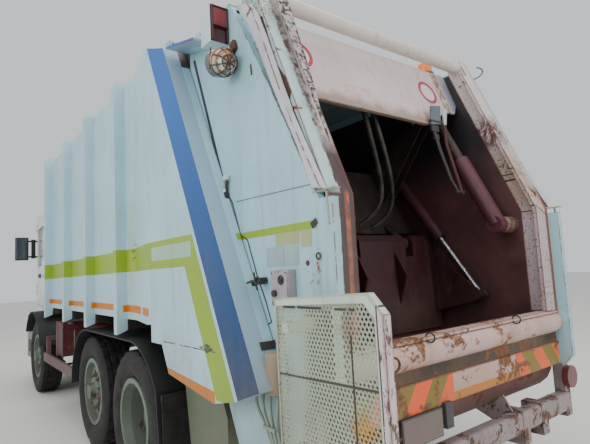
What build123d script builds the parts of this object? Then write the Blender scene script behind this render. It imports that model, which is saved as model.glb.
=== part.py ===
import os
from math import atan, atan2, cos, degrees, hypot, radians, sin, sqrt
from build123d import *

os.makedirs("parts", exist_ok=True)

# Rear-loading refuse truck. Millimetres, +Z up, front towards -Y, left side at +X,
# origin at the bottom centre of the whole box.

# Overall
overall_length = 8320.0
overall_width = 2500.0
front_y = -overall_length / 2
rear_y = overall_length / 2
side_x = overall_width / 2
seat_gap = 0.3
joint_gap = 0.5
moving_gap = 8.0

# Axles and wheels
tyre_radius = 520.0
tyre_width = 290.0
twin_tyre_width = 274.0
bead_radius = 285.0
stub_radius = 50.0
axle_z = tyre_radius
front_axle_y = -2800.0
second_axle_y = 280.0
drive_axle_y = 1560.0
front_wheel_x = 1035.0
second_wheel_x = 1050.0
twin_wheel_x = 930.0
twin_half_spacing = 160.0
hand_hole_radius = 27.0
hand_hole_count = 10
hand_hole_circle = 172.0

# Chassis
rail_outer_x = 430.0
rail_height = 270.0
rail_flange = 80.0
rail_web = 10.0
rail_bottom_z = 770.0
rail_top_z = rail_bottom_z + rail_height
rail_front_y = -4060.0
rail_rear_y = 2160.0
kingpin_x = 860.0
kingpin_boss_radius = 48.0
kingpin_boss_height = 130.0
steer_arm_length = 270.0
steer_arm_z = 400.0
spring_width = 80.0
leaf_thickness = 55.0

# Container
wall_outer_x = 1165.0
wall_thickness = 20.0
wall_inner_x = wall_outer_x - wall_thickness
floor_bottom_z = 1260.0
floor_thickness = 30.0
floor_top_z = floor_bottom_z + floor_thickness
wall_top_z = 3190.0
roof_thickness = 14.0
rib_top_z = 3236.0
rib_width = 80.0
rib_bottom_z = 1140.0
container_front_y = -1740.0
container_rear_y = 2300.0
# rib centre along Y
rib_places = (-1700.0, -620.0, 330.0, 1285.0)

# Slanted joint between container and tailgate: y = slant_foot_y - slant_ratio * z
slant_foot_y = 3884.0
slant_ratio = 0.485
slant_angle = atan(slant_ratio)
cheek_inner_x = 1092.0

# Tailgate
gate_outer_x = 1085.0
gate_liner_x = 950.0
gate_skin = 22.0
gate_front_y = container_rear_y + 10.0
gate_top_z = 3130.0
gate_roof_thickness = 20.0
gate_hinge_y = container_rear_y + 20.0
gate_hinge_z = 3218.0
gate_pin_radius = 10.0
gate_ear_radius = 18.0
edge_foot_y = 3770.0
edge_bend_z = 1890.0
column_inner_x = 950.0
column_outer_x = 1045.0
column_flange_x = 885.0
column_flange_depth = 30.0
column_flange_z = 3060.0
column_head_z = 3205.0
column_rear_y = 3700.0
column_depth = 140.0
column_bend_z = 1920.0
column_slope = 0.41
column_foot_z = 1000.0
tube_radius = 48.0
tube_y = 3140.0
tube_z = 3160.0
header_low_z = 2600.0
header_high_z = gate_top_z
header_thickness = 18.0
header_low_y = 3196.0
header_slope = 0.34
header_lip_depth = 55.0
roof_rear_y = 2985.0
sill_top_z = 1210.0
stand_z = sill_top_z - 4.0
sill_bulge_radius = 72.0
sill_bulge_z = 1128.0
board_low_z = 845.0
board_high_z = 990.0

# Packer: the carriage slides along the slant, the blade swings about its lower edge
blade_hinge_y = 2720.0
blade_hinge_z = 1750.0
blade_half_width = 925.0
blade_reach = 700.0
bowl_radius = 722.0
bowl_thickness = 16.0
carriage_travel = 430.0
ramp_offset = 40.0
hinge_pin_radius = 28.0
hinge_barrel_radius = 52.0
blade_cylinder_x = 888.0
blade_cylinder_radius = 48.0
blade_rod_radius = 22.0
carriage_cylinder_x = 765.0
carriage_cylinder_radius = 60.0
carriage_rod_radius = 36.0
slide_y = -sin(slant_angle)
slide_z = cos(slant_angle)


def along_slant(s, n, y0=blade_hinge_y, z0=blade_hinge_z):
    """Point at s up the slant and n to its rear, from the blade hinge."""
    return (y0 + s * slide_y + n * slide_z, z0 + s * slide_z - n * slide_y)


def column_face(z):
    """Rear face of the columns at height z."""
    return column_rear_y - column_slope * max(0.0, z - column_bend_z)


def slant_face(z):
    return slant_foot_y - slant_ratio * z


# Frame rails: two C sections with cross-members, cab mounts and tailgate buffers
# centre y, length along y, low z, high z
cross_members = (
    (-3940.0, 90.0, 800.0, 1010.0),
    (-1500.0, 90.0, 940.0, 1030.0),
    (-300.0, 90.0, 940.0, 1030.0),
    (920.0, 160.0, 800.0, 1010.0),
    (2100.0, 90.0, 800.0, 1010.0),
)
cab_hinge_y = -4020.0
cab_hinge_z = 1125.0
cab_floor_z = 1190.0
cab_rear_mount_y = -2480.0
with BuildPart() as frame_rails:
    with BuildSketch(Plane.XZ.offset(-rail_front_y)):
        for side in (1, -1):
            with Locations((side * (rail_outer_x - rail_flange / 2), rail_bottom_z + rail_height / 2)):
                Rectangle(rail_flange, rail_height)
            with Locations((side * (rail_outer_x - rail_web - rail_flange / 2),
                    rail_bottom_z + rail_height / 2)):
                Rectangle(rail_flange, rail_height - 2 * rail_web, mode=Mode.SUBTRACT)
    extrude(amount=-(rail_rear_y - rail_front_y))
    for place_y, length, low, high in cross_members:
        with Locations((0, place_y, (low + high) / 2)):
            Box(2 * (rail_outer_x - rail_web), length, high - low)
    for side in (1, -1):
        x = side * (rail_outer_x - rail_flange / 2)
        with Locations((x, cab_hinge_y, (rail_top_z + cab_hinge_z) / 2)):
            Box(30, 90, cab_hinge_z - rail_top_z)
        with Locations(Plane((x, cab_hinge_y, cab_hinge_z), x_dir=(0, 1, 0), z_dir=(1, 0, 0))):
            Cylinder(45, 30)
            Cylinder(20, 130)
        with Locations((x, cab_rear_mount_y, (rail_top_z + cab_floor_z - seat_gap) / 2)):
            Box(70, 120, cab_floor_z - seat_gap - rail_top_z)
frame_rails.part.label = "frame_rails"
export_step(frame_rails.part, "parts/frame_rails.step")

# Front axle: dropped beam with kingpin bosses, and its two leaf springs on rail hangers
beam_half = 60.0
leaf_half_span = 800.0
leaf_mid_z = axle_z + beam_half + 40.0
leaf_end_z = rail_bottom_z - 60.0
with BuildPart() as front_axle:
    with Locations((0, front_axle_y, axle_z)):
        Box(2 * (kingpin_x - 30), 100, 2 * beam_half)
    for side in (1, -1):
        with Locations((side * kingpin_x, front_axle_y, axle_z)):
            Cylinder(kingpin_boss_radius, kingpin_boss_height)
        x = side * (rail_outer_x - spring_width / 2)
        with BuildSketch(Plane.YZ.offset(x - spring_width / 2)):
            with BuildLine():
                low = ThreePointArc(
                    (front_axle_y - leaf_half_span, leaf_end_z),
                    (front_axle_y, leaf_mid_z),
                    (front_axle_y + leaf_half_span, leaf_end_z),
                )
                high = ThreePointArc(
                    (front_axle_y - leaf_half_span, leaf_end_z + leaf_thickness),
                    (front_axle_y, leaf_mid_z + leaf_thickness),
                    (front_axle_y + leaf_half_span, leaf_end_z + leaf_thickness),
                )
                Line(low @ 0, high @ 0)
                Line(low @ 1, high @ 1)
            make_face()
        extrude(amount=spring_width)
        with Locations((x, front_axle_y, (axle_z + leaf_mid_z + leaf_thickness) / 2 + 10)):
            Box(spring_width + 20, 130, leaf_mid_z - axle_z + leaf_thickness + 20)
        for end in (-1, 1):
            with Locations((x, front_axle_y + end * (leaf_half_span - 20),
                    (leaf_end_z + rail_bottom_z) / 2)):
                Box(spring_width - 20, 90, rail_bottom_z - leaf_end_z)
front_axle.part.label = "front_axle"
export_step(front_axle.part, "parts/front_axle.step")

# Rear axles: dead second axle, drive axle with differential, leaf packs over both
leaf_seat_z = axle_z + 110.0
trunnion_y = (second_axle_y + drive_axle_y) / 2
second_tube_radius = 62.0
drive_tube_radius = 80.0
diff_radius = 195.0
pinion_y = drive_axle_y - 270.0
pinion_z = axle_z + 30.0
second_stub_start = second_wheel_x - 78.0
twin_stub_start = twin_wheel_x - 240.0
with BuildPart() as rear_axles:
    with Locations(Plane((0, second_axle_y, axle_z), x_dir=(0, 1, 0), z_dir=(1, 0, 0))):
        Cylinder(second_tube_radius, 2 * second_stub_start)
        Cylinder(stub_radius, 2 * (second_wheel_x + 80))
    with Locations(Plane((0, drive_axle_y, axle_z), x_dir=(0, 1, 0), z_dir=(1, 0, 0))):
        Cylinder(drive_tube_radius, 2 * twin_stub_start)
        Cylinder(stub_radius, 2 * (twin_wheel_x + 90))
    with Locations((0, drive_axle_y, axle_z)):
        Sphere(diff_radius)
    with Locations(Plane((0, pinion_y, pinion_z), x_dir=(1, 0, 0), z_dir=(0, 1, 0))):
        Cylinder(80, 200, align=(Align.CENTER, Align.CENTER, Align.MIN))
    for side in (1, -1):
        x = side * (rail_outer_x - spring_width / 2)
        with BuildSketch(Plane.YZ.offset(x - spring_width / 2)):
            with BuildLine():
                low = ThreePointArc(
                    (second_axle_y, leaf_seat_z), (trunnion_y, leaf_seat_z + 60), (drive_axle_y, leaf_seat_z)
                )
                high = ThreePointArc(
                    (second_axle_y, leaf_seat_z + 45),
                    (trunnion_y, leaf_seat_z + 125),
                    (drive_axle_y, leaf_seat_z + 45),
                )
                Line(low @ 0, high @ 0)
                Line(low @ 1, high @ 1)
            make_face()
        extrude(amount=spring_width)
        for seat_y in (second_axle_y, drive_axle_y):
            with Locations((x, seat_y, (axle_z + leaf_seat_z + 30) / 2)):
                Box(spring_width, 130, leaf_seat_z + 30 - axle_z)
        with Locations((x, trunnion_y, (leaf_seat_z + 80 + rail_bottom_z) / 2)):
            Box(spring_width, 220, rail_bottom_z - leaf_seat_z - 80)
rear_axles.part.label = "rear_axles"
export_step(rear_axles.part, "parts/rear_axles.step")

# Engine: one plain block on its mounts between the rails
engine_half_x = 330.0
engine_front_y = -3600.0
engine_rear_y = -2350.0
engine_low_z = 760.0
engine_high_z = 1400.0
with BuildPart() as engine_block:
    with Locations((0, (engine_front_y + engine_rear_y) / 2, (engine_low_z + engine_high_z) / 2)):
        Box(2 * engine_half_x, engine_rear_y - engine_front_y, engine_high_z - engine_low_z)
    with Locations((0, engine_front_y + 300, rail_bottom_z + 60),
            (0, engine_rear_y - 150, rail_bottom_z + 60)):
        Box(2 * (rail_outer_x - rail_web), 90, 80)
engine_block.part.label = "engine_block"
export_step(engine_block.part, "parts/engine_block.step")

# Gearbox and propeller shaft down to the drive axle
gearbox_rear_y = -1700.0
shaft_start = (gearbox_rear_y, 850.0)
shaft_end = (pinion_y - seat_gap, pinion_z)
shaft_length = hypot(shaft_end[0] - shaft_start[0], shaft_end[1] - shaft_start[1])
shaft_dir = (0, (shaft_end[0] - shaft_start[0]) / shaft_length,
        (shaft_end[1] - shaft_start[1]) / shaft_length)
with BuildPart() as drive_line:
    with BuildSketch(Plane.XZ.offset(-(engine_rear_y + seat_gap))):
        with Locations((0, 900)):
            RectangleRounded(520, 420, 90)
    with BuildSketch(Plane.XZ.offset(-gearbox_rear_y)):
        with Locations((0, 860)):
            RectangleRounded(260, 240, 60)
    loft()
    with Locations(Plane((0, shaft_start[0], shaft_start[1]), x_dir=(1, 0, 0), z_dir=shaft_dir)):
        Cylinder(45, shaft_length - 12, align=(Align.CENTER, Align.CENTER, Align.MIN))
    with Locations(Plane((0, shaft_end[0], shaft_end[1]), x_dir=(1, 0, 0), z_dir=(0, -1, 0))):
        Cylinder(70, 60, align=(Align.CENTER, Align.CENTER, Align.MIN))
drive_line.part.label = "drive_line"
export_step(drive_line.part, "parts/drive_line.step")

# Tanks: battery box and air tanks on the left, fuel tank on the right
tank_wall = 12.0
fuel_low_z = 540.0
fuel_high_z = 1040.0
with BuildPart() as chassis_tanks:
    with Locations((850, -1580, 860)):
        Box(500, 420, 420)
    with Locations((515, -1580, 900)):
        Box(170, 300, 120)
    for tank_z in (720, 960):
        with Locations(Plane((760, -860, tank_z), x_dir=(1, 0, 0), z_dir=(0, 1, 0))):
            Cylinder(105, 640)
    with Locations((560, -860, 840)):
        Box(260, 60, 180)
    with BuildSketch(Plane.XZ.offset(1900)):
        with Locations((-850, (fuel_low_z + fuel_high_z) / 2)):
            RectangleRounded(560, fuel_high_z - fuel_low_z, 110)
    extrude(amount=-1200)
    with BuildSketch(Plane.XZ.offset(1900 - tank_wall)):
        with Locations((-850, (fuel_low_z + fuel_high_z) / 2)):
            RectangleRounded(560 - 2 * tank_wall, fuel_high_z - fuel_low_z - 2 * tank_wall, 110 - tank_wall)
    extrude(amount=-(1200 - 2 * tank_wall), mode=Mode.SUBTRACT)
    with Locations((-1000, -1000, fuel_high_z - 10)):
        Cylinder(45, 60)
        Cylinder(36, 90, mode=Mode.SUBTRACT)
    for bracket_y in (-1700, -900):
        with Locations((-500, bracket_y, 860)):
            Box(140, 70, 160)
chassis_tanks.part.label = "chassis_tanks"
export_step(chassis_tanks.part, "parts/chassis_tanks.step")

# Mudguards: a long one over both rear wheels with a flap, and an arc over each front wheel
guard_radius = 590.0
guard_thickness = 12.0
guard_inner_x = 640.0
guard_outer_x = 1232.0
guard_top_z = axle_z + guard_radius
front_guard_radius = 648.0
flap_low_z = 300.0
with BuildPart() as mudguards:
    for side in (1, -1):
        with BuildSketch(Plane.YZ.offset(side * (guard_inner_x + guard_outer_x) / 2)):
            with BuildLine():
                front_arc = CenterArc((second_axle_y, axle_z), guard_radius, 180, -90)
                Line(front_arc @ 1, (drive_axle_y, guard_top_z))
                rear_arc = CenterArc((drive_axle_y, axle_z), guard_radius, 90, -60)
                Line(rear_arc @ 1, ((rear_arc @ 1).X + 60, flap_low_z))
            trace(line_width=guard_thickness)
            with BuildLine():
                CenterArc((front_axle_y, axle_z), front_guard_radius, 18, 132)
            trace(line_width=guard_thickness)
        extrude(amount=(guard_outer_x - guard_inner_x) / 2, both=True)
        for arm_y in (second_axle_y + 250, drive_axle_y - 250):
            with Locations((side * (rail_outer_x + guard_inner_x + 60) / 2, arm_y, guard_top_z - 50)):
                Box(guard_inner_x + 60 - rail_outer_x, 60, 100)
        with Locations((side * (rail_outer_x + guard_inner_x + 60) / 2, front_axle_y, rail_top_z + 40)):
            Box(guard_inner_x + 60 - rail_outer_x, 60, 60)
        with Locations((side * (guard_inner_x + 30), front_axle_y,
                (rail_top_z + axle_z + front_guard_radius) / 2 + 5)):
            Box(60, 60, axle_z + front_guard_radius - rail_top_z - 10)
        with Locations((side * (rail_outer_x + 20), front_axle_y, rail_top_z + 5)):
            Box(40, 60, 130)
mudguards.part.label = "mudguards"
export_step(mudguards.part, "parts/mudguards.step")

# Side guards: one bar a side on two arms
side_bar_x = 1190.0
side_bar_z = 600.0
side_bar_front_y = -2040.0
side_bar_rear_y = -380.0
with BuildPart() as side_guards:
    for side in (1, -1):
        with Locations((side * side_bar_x, (side_bar_front_y + side_bar_rear_y) / 2, side_bar_z)):
            Box(30, side_bar_rear_y - side_bar_front_y, 110)
        for arm_y in (side_bar_front_y + 45, side_bar_rear_y - 45):
            with Locations((side * (rail_outer_x + side_bar_x - 15) / 2, arm_y, 840)):
                Box(side_bar_x - 15 - rail_outer_x, 50, 50)
            with Locations((side * (side_bar_x - 40), arm_y, (865 + side_bar_z - 55) / 2)):
                Box(50, 50, 865 - side_bar_z + 55)
side_guards.part.label = "side_guards"
export_step(side_guards.part, "parts/side_guards.step")

# Front bumper with entry steps, lamp pockets and a towing jaw
bumper_low_z = 400.0
bumper_high_z = 1070.0
bumper_half_width = 1120.0
jaw_half_gap = 45.0
jaw_bore_radius = 21.0
jaw_y = front_y + 60.0
jaw_z = 560.0
with BuildPart() as front_bumper:
    with BuildSketch(Plane.XY.offset(bumper_low_z)):
        with BuildLine():
            Polyline(
                (-bumper_half_width, -3480), (-bumper_half_width, front_y + 200),
                (-bumper_half_width + 190, front_y),
                (bumper_half_width - 190, front_y), (bumper_half_width, front_y + 200),
                (bumper_half_width, -3480),
                (620, -3480), (620, front_y + 60), (-620, front_y + 60), (-620, -3480), close=True,
            )
        make_face()
    extrude(amount=bumper_high_z - bumper_low_z)
    for side in (1, -1):
        for step_z in (470, 790):
            with Locations((side * bumper_half_width, -3700, step_z + 110)):
                Box(360, 340, 200, mode=Mode.SUBTRACT)
        with Locations((side * 850, front_y, 800)):
            Box(330, 60, 170, mode=Mode.SUBTRACT)
        with Locations((side * (rail_outer_x - rail_flange / 2),
                (front_y + 50 + rail_front_y - seat_gap) / 2, 900)):
            Box(rail_flange, rail_front_y - seat_gap - front_y - 50, 240)
    jaw_back_y = front_y + 120
    with Locations((0, (front_y + 50 + jaw_back_y + 20) / 2, jaw_z)):
        Box(260, jaw_back_y - front_y - 30, 190)
    with Locations((0, jaw_back_y - 100, (jaw_z + 75 + bumper_low_z - 10) / 2)):
        Box(220, 200, jaw_z + 75 - bumper_low_z + 10, mode=Mode.SUBTRACT)
    for lug_z in (jaw_z - jaw_half_gap - 12, jaw_z + jaw_half_gap + 12):
        with Locations((0, (front_y + 10 + jaw_back_y + 5) / 2, lug_z)):
            Box(120, jaw_back_y - front_y - 5, 24)
    with Locations((0, jaw_y, jaw_z)):
        Cylinder(jaw_bore_radius, 2 * jaw_half_gap + 48, mode=Mode.SUBTRACT)
    for side in (1, -1):
        with Locations((side * 780, (front_y + 80 - 3500) / 2, (bumper_low_z + bumper_high_z) / 2 - 20)):
            Box(260, -3500 - front_y - 80, bumper_high_z - bumper_low_z, mode=Mode.SUBTRACT)
front_bumper.part.label = "front_bumper"
export_step(front_bumper.part, "parts/front_bumper.step")

# Headlamps in the bumper's pockets
with BuildPart() as headlamps:
    for side in (1, -1):
        with Locations((side * 850, front_y + 20, 800)):
            Box(328, 20, 168)
        for lens_x in (side * 790, side * 920):
            with Locations(Plane((lens_x, front_y + 12, 800), x_dir=(1, 0, 0), z_dir=(0, -1, 0))):
                Cylinder(56, 12, align=(Align.CENTER, Align.CENTER, Align.MIN))
headlamps.part.label = "headlamps"
export_step(headlamps.part, "parts/headlamps.step")

# Container floor on its long bearers, with a cross-beam at each rib
bearer_front_y = container_front_y + 40
with BuildPart() as body_floor:
    floor_length = container_rear_y - container_front_y - wall_thickness
    floor_mid_y = (container_rear_y + container_front_y + wall_thickness) / 2
    with Locations((0, floor_mid_y, (floor_bottom_z + floor_top_z) / 2)):
        Box(2 * wall_inner_x, floor_length, floor_thickness)
    for side in (1, -1):
        x = side * (rail_outer_x - rail_flange / 2)
        with Locations((x, (bearer_front_y + rail_rear_y) / 2, (rail_top_z + floor_bottom_z) / 2)):
            Box(rail_flange, rail_rear_y - bearer_front_y, floor_bottom_z - rail_top_z)
    for rib_y in (*rib_places, container_rear_y - 60):
        with Locations((0, rib_y, floor_bottom_z - 45)):
            Box(2 * wall_inner_x, 60, 90)
body_floor.part.label = "body_floor"
export_step(body_floor.part, "parts/body_floor.step")

# Front wall of the container
with BuildPart() as body_front_wall:
    with Locations((0, container_front_y + wall_thickness / 2, (floor_bottom_z + wall_top_z) / 2)):
        Box(2 * wall_outer_x, wall_thickness, wall_top_z - floor_bottom_z)
body_front_wall.part.label = "body_front_wall"
export_step(body_front_wall.part, "parts/body_front_wall.step")

# Side walls with their ribs; the rib heads are cut off at a slant
for name, side in (("left", 1), ("right", -1)):
    with BuildPart() as body_wall:
        wall_front_y = container_front_y + wall_thickness
        with Locations((side * (wall_inner_x + wall_thickness / 2), (wall_front_y + container_rear_y) / 2,
                        (floor_bottom_z + wall_top_z) / 2)):
            Box(wall_thickness, container_rear_y - wall_front_y, wall_top_z - floor_bottom_z)
        for rib_y in rib_places:
            with BuildSketch(Plane.XZ.offset(-(rib_y - rib_width / 2))):
                with BuildLine():
                    Polyline(
                        (side * wall_outer_x, rib_bottom_z + 30), (side * side_x, rib_bottom_z),
                        (side * side_x, rib_top_z - 30), (side * (side_x - 30), rib_top_z),
                        (side * wall_outer_x, rib_top_z), close=True,
                    )
                make_face()
            extrude(amount=-rib_width)
    body_wall.part.label = "body_wall_" + name
    export_step(body_wall.part, "parts/body_wall_" + name + ".step")

# Roof of the container with its bows and the lugs that carry the tailgate
gate_lug_x = 780.0
with BuildPart() as body_roof:
    with Locations((0, (container_front_y + container_rear_y) / 2, wall_top_z + roof_thickness / 2)):
        Box(2 * wall_outer_x, container_rear_y - container_front_y, roof_thickness)
    for rib_y in rib_places:
        with Locations((0, rib_y, (wall_top_z + rib_top_z) / 2)):
            Box(2 * wall_outer_x, rib_width, rib_top_z - wall_top_z)
    for side in (1, -1):
        with BuildSketch(Plane.YZ.offset(side * gate_lug_x)):
            with BuildLine():
                Polyline(
                    (gate_hinge_y - 150, wall_top_z + 5), (gate_hinge_y - 20, wall_top_z + 5),
                    (gate_hinge_y + 8, gate_hinge_z - 12), (gate_hinge_y, gate_hinge_z + 16), close=True,
                )
            make_face()
            with Locations((gate_hinge_y, gate_hinge_z)):
                Circle(gate_ear_radius)
                Circle(gate_pin_radius + joint_gap, mode=Mode.SUBTRACT)
        extrude(amount=30, both=True)
body_roof.part.label = "body_roof"
export_step(body_roof.part, "parts/body_roof.step")

# Cheeks: the smooth side covers of the container, which overlap the tailgate along the slant
cheek_front_y = 1550.0
cheek_flush_y = 2010.0
cheek_peak_y = 2010.0
cheek_top_end_y = slant_face(3090.0)
# y, z of the cheek's outline from the top front corner round to the slanted edge
cheek_outline = (
    (cheek_peak_y, 3240.0), (cheek_peak_y, 1267.0), (2070.0, 1267.0), (2070.0, 1150.0), (2250.0, 1150.0),
    (2350.0, 980.0), (2940.0, 907.0), (3170.0, 958.0), (slant_face(1033.0), 1033.0),
    (cheek_top_end_y, 3090.0),
)
with BuildPart() as body_cheeks:
    for side in (1, -1):
        with BuildSketch(Plane.YZ.offset(side * (wall_outer_x + side_x) / 2)):
            with BuildLine():
                Polyline(*cheek_outline, close=True)
            make_face()
        extrude(amount=(side_x - wall_outer_x) / 2, both=True)
        with BuildSketch(Plane.XY.offset(floor_bottom_z)):
            with BuildLine():
                Polyline(
                    (side * wall_outer_x, cheek_front_y), (side * side_x, cheek_flush_y),
                    (side * wall_outer_x, cheek_flush_y), close=True,
                )
            make_face()
        extrude(amount=wall_top_z - floor_bottom_z)
        with BuildSketch(Plane.YZ.offset(side * (wall_outer_x + cheek_inner_x) / 2)):
            with BuildLine():
                Polyline(
                    (cheek_top_end_y, 3090), (slant_face(1033.0), 1033), (slant_face(1033.0) - 60, 1033),
                    (cheek_top_end_y - 60, 3090), close=True,
                )
            make_face()
        extrude(amount=(wall_outer_x - cheek_inner_x) / 2, both=True)
body_cheeks.part.label = "body_cheeks"
export_step(body_cheeks.part, "parts/body_cheeks.step")

# Cab: outer block tapered in plan and leaning in above the waist, hollowed, with tunnel and openings
cab_back_y = -2370.0
cab_front_y = front_y + 60.0
cab_waist_z = 1760.0
cab_roof_z = 2800.0
cab_back_half = 1130.0
cab_front_half = 985.0
cab_roof_inset = 110.0
cab_wall = 30.0
screen_low_z = 1930.0
screen_high_z = 2620.0
screen_lean = 190.0
tunnel_half = 390.0
tunnel_top_z = 1460.0
door_front_y = -3900.0
door_rear_y = -2850.0
door_low_z = cab_floor_z + 50.0
door_high_z = 2640.0
door_gap = 6.0
glass_thickness = 6.0
door_hinge_y = door_front_y - door_gap / 2
door_hinge_x = cab_front_half + (cab_back_half - cab_front_half) * (
    (door_hinge_y - cab_front_y - 160) / (cab_back_y - cab_front_y - 160)) + 7.0
door_pin_radius = 6.0


def cab_block(inset):
    """The cab's solid shape, drawn in by inset on every side."""
    with BuildPart() as block:
        with BuildSketch(Plane.XY.offset(cab_floor_z + inset)):
            with BuildLine():
                Polyline(
                    (-cab_back_half + inset, cab_back_y - inset),
                    (cab_back_half - inset, cab_back_y - inset),
                    (cab_front_half - inset, cab_front_y + 160), (cab_front_half - 170, cab_front_y + inset),
                    (-cab_front_half + 170, cab_front_y + inset),
                    (-cab_front_half + inset, cab_front_y + 160),
                    close=True,
                )
            make_face()
        extrude(amount=cab_roof_z - cab_floor_z - 2 * inset)
        with BuildSketch(Plane.XZ.offset(-(cab_front_y - 50))):
            with BuildLine():
                Polyline(
                    (-cab_back_half + inset, cab_floor_z), (cab_back_half - inset, cab_floor_z),
                    (cab_back_half - inset, cab_waist_z),
                    (cab_back_half - cab_roof_inset - inset, cab_roof_z - 90),
                    (cab_back_half - cab_roof_inset - 120 - inset, cab_roof_z - inset),
                    (-cab_back_half + cab_roof_inset + 120 + inset, cab_roof_z - inset),
                    (-cab_back_half + cab_roof_inset + inset, cab_roof_z - 90),
                    (-cab_back_half + inset, cab_waist_z),
                    close=True,
                )
            make_face()
        extrude(amount=-(cab_back_y - cab_front_y + 100), mode=Mode.INTERSECT)
        with BuildSketch(Plane.YZ):
            with BuildLine():
                Polyline(
                    (cab_front_y + inset, cab_floor_z), (cab_front_y + inset, cab_waist_z),
                    (cab_front_y + screen_lean + inset, cab_roof_z - 60),
                    (cab_front_y + screen_lean + 120, cab_roof_z - inset),
                    (cab_back_y - inset - 60, cab_roof_z - inset),
                    (cab_back_y - inset, cab_roof_z - 60 - inset),
                    (cab_back_y - inset, cab_floor_z), close=True,
                )
            make_face()
        extrude(amount=side_x, both=True, mode=Mode.INTERSECT)
    return block.part


cab_outer = cab_block(0)
cab_inner = cab_block(cab_wall)
screen_half = 800.0
door_glass_low_z = 1850.0
door_glass_high_z = 2480.0
door_glass_front_y = door_front_y + 130
door_glass_rear_y = door_rear_y - 90
with BuildPart() as cab_skin:
    add(cab_outer)
    add(cab_inner, mode=Mode.SUBTRACT)

with BuildPart() as cab_shell:
    add(cab_skin.part)
    with Locations((0, (cab_back_y + engine_front_y - 60) / 2, (cab_floor_z + tunnel_top_z) / 2)):
        Box(2 * tunnel_half, cab_back_y - engine_front_y + 60, tunnel_top_z - cab_floor_z)
    with Locations((0, (cab_back_y + engine_front_y - 40) / 2 + 20, (cab_floor_z + tunnel_top_z - 30) / 2)):
        Box(2 * tunnel_half - 60, cab_back_y - engine_front_y + 40, tunnel_top_z - cab_floor_z - 30,
                mode=Mode.SUBTRACT)
    for side in (1, -1):
        with Locations((side * side_x, (door_front_y + door_rear_y) / 2, (door_low_z + door_high_z) / 2)):
            Box(side_x, door_rear_y - door_front_y + 2 * door_gap, door_high_z - door_low_z + 2 * door_gap,
                mode=Mode.SUBTRACT)
        x = side * (rail_outer_x - rail_flange / 2)
        for lug_x in (x - 45, x + 45):
            with Locations((lug_x, cab_hinge_y, (cab_hinge_z + cab_floor_z + 10) / 2)):
                Box(30, 80, cab_floor_z + 10 - cab_hinge_z)
            with Locations(Plane((lug_x, cab_hinge_y, cab_hinge_z), x_dir=(0, 1, 0), z_dir=(1, 0, 0))):
                Cylinder(40, 30)
        with Locations(Plane((x, cab_hinge_y, cab_hinge_z), x_dir=(0, 1, 0), z_dir=(1, 0, 0))):
            Cylinder(20 + joint_gap, 200, mode=Mode.SUBTRACT)
    with Locations((0, cab_front_y + 100, (screen_low_z + screen_high_z) / 2)):
        Box(2 * screen_half, 500, screen_high_z - screen_low_z, mode=Mode.SUBTRACT)
    for side in (1, -1):
        for hinge_z in (1480, 2520):
            with Locations((side * door_hinge_x, door_hinge_y, hinge_z)):
                Cylinder(18, 86, mode=Mode.SUBTRACT)
                Cylinder(door_pin_radius, 150)
            for end in (-1, 1):
                with Locations((side * door_hinge_x, door_hinge_y, hinge_z + end * 60)):
                    Cylinder(13, 30)
                with Locations((side * (door_hinge_x - 8), door_hinge_y - 20, hinge_z + end * 60)):
                    Box(24, 40, 30)
cab_shell.part.label = "cab_shell"
export_step(cab_shell.part, "parts/cab_shell.step")

# Front panel: grille bars on the cab's nose
with BuildPart() as cab_front:
    for bar_z in (1330, 1440, 1550, 1660):
        with Locations((0, cab_front_y - 18, bar_z)):
            Box(1300, 36, 60)
    for bar_x in (-620, 0, 620):
        with Locations((bar_x, cab_front_y - 10, 1495)):
            Box(40, 20, 390)
cab_front.part.label = "cab_front"
export_step(cab_front.part, "parts/cab_front.step")

# Windscreen: a thin pane inside the screen opening
with BuildPart() as windscreen:
    add(cab_block(12))
    add(cab_block(12 + glass_thickness), mode=Mode.SUBTRACT)
    with Locations((0, cab_front_y + 100, (screen_low_z + screen_high_z) / 2)):
        Box(2 * (screen_half - seat_gap), 300, screen_high_z - screen_low_z - 2 * seat_gap,
                mode=Mode.INTERSECT)
windscreen.part.label = "windscreen"
export_step(windscreen.part, "parts/windscreen.step")

# Cab interior: dashboard with steering wheel, and two seats
cab_floor_top = cab_floor_z + cab_wall
seat_x = 640.0
with BuildPart() as cab_interior:
    with BuildSketch(Plane.YZ):
        with BuildLine():
            Polyline(
                (cab_front_y + cab_wall + seat_gap, 1500), (cab_front_y + cab_wall + seat_gap, 1755),
                (cab_front_y + 76, 1880), (cab_front_y + 330, 1860), (cab_front_y + 420, 1700),
                (cab_front_y + 300, 1500), close=True,
            )
        make_face()
    extrude(amount=780, both=True)
    wheel_plane = Plane((seat_x, cab_front_y + 520, 1840), x_dir=(1, 0, 0), z_dir=(0, 0.5, 0.866))
    with Locations(wheel_plane):
        Torus(215, 17)
        Cylinder(40, 50)
        Box(400, 36, 20)
    with Locations(wheel_plane):
        Cylinder(28, 340, align=(Align.CENTER, Align.CENTER, Align.MAX))
    for x in (seat_x, -seat_x):
        with Locations((x, -2900, (cab_floor_top + 1560) / 2)):
            Box(300, 300, 1560 - cab_floor_top)
        with Locations((x, -2890, 1620)):
            Box(460, 500, 130)
        with Locations((x, -2600, 1950)):
            Box(450, 120, 780)
cab_interior.part.label = "cab_interior"
export_step(cab_interior.part, "parts/cab_interior.step")

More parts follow.
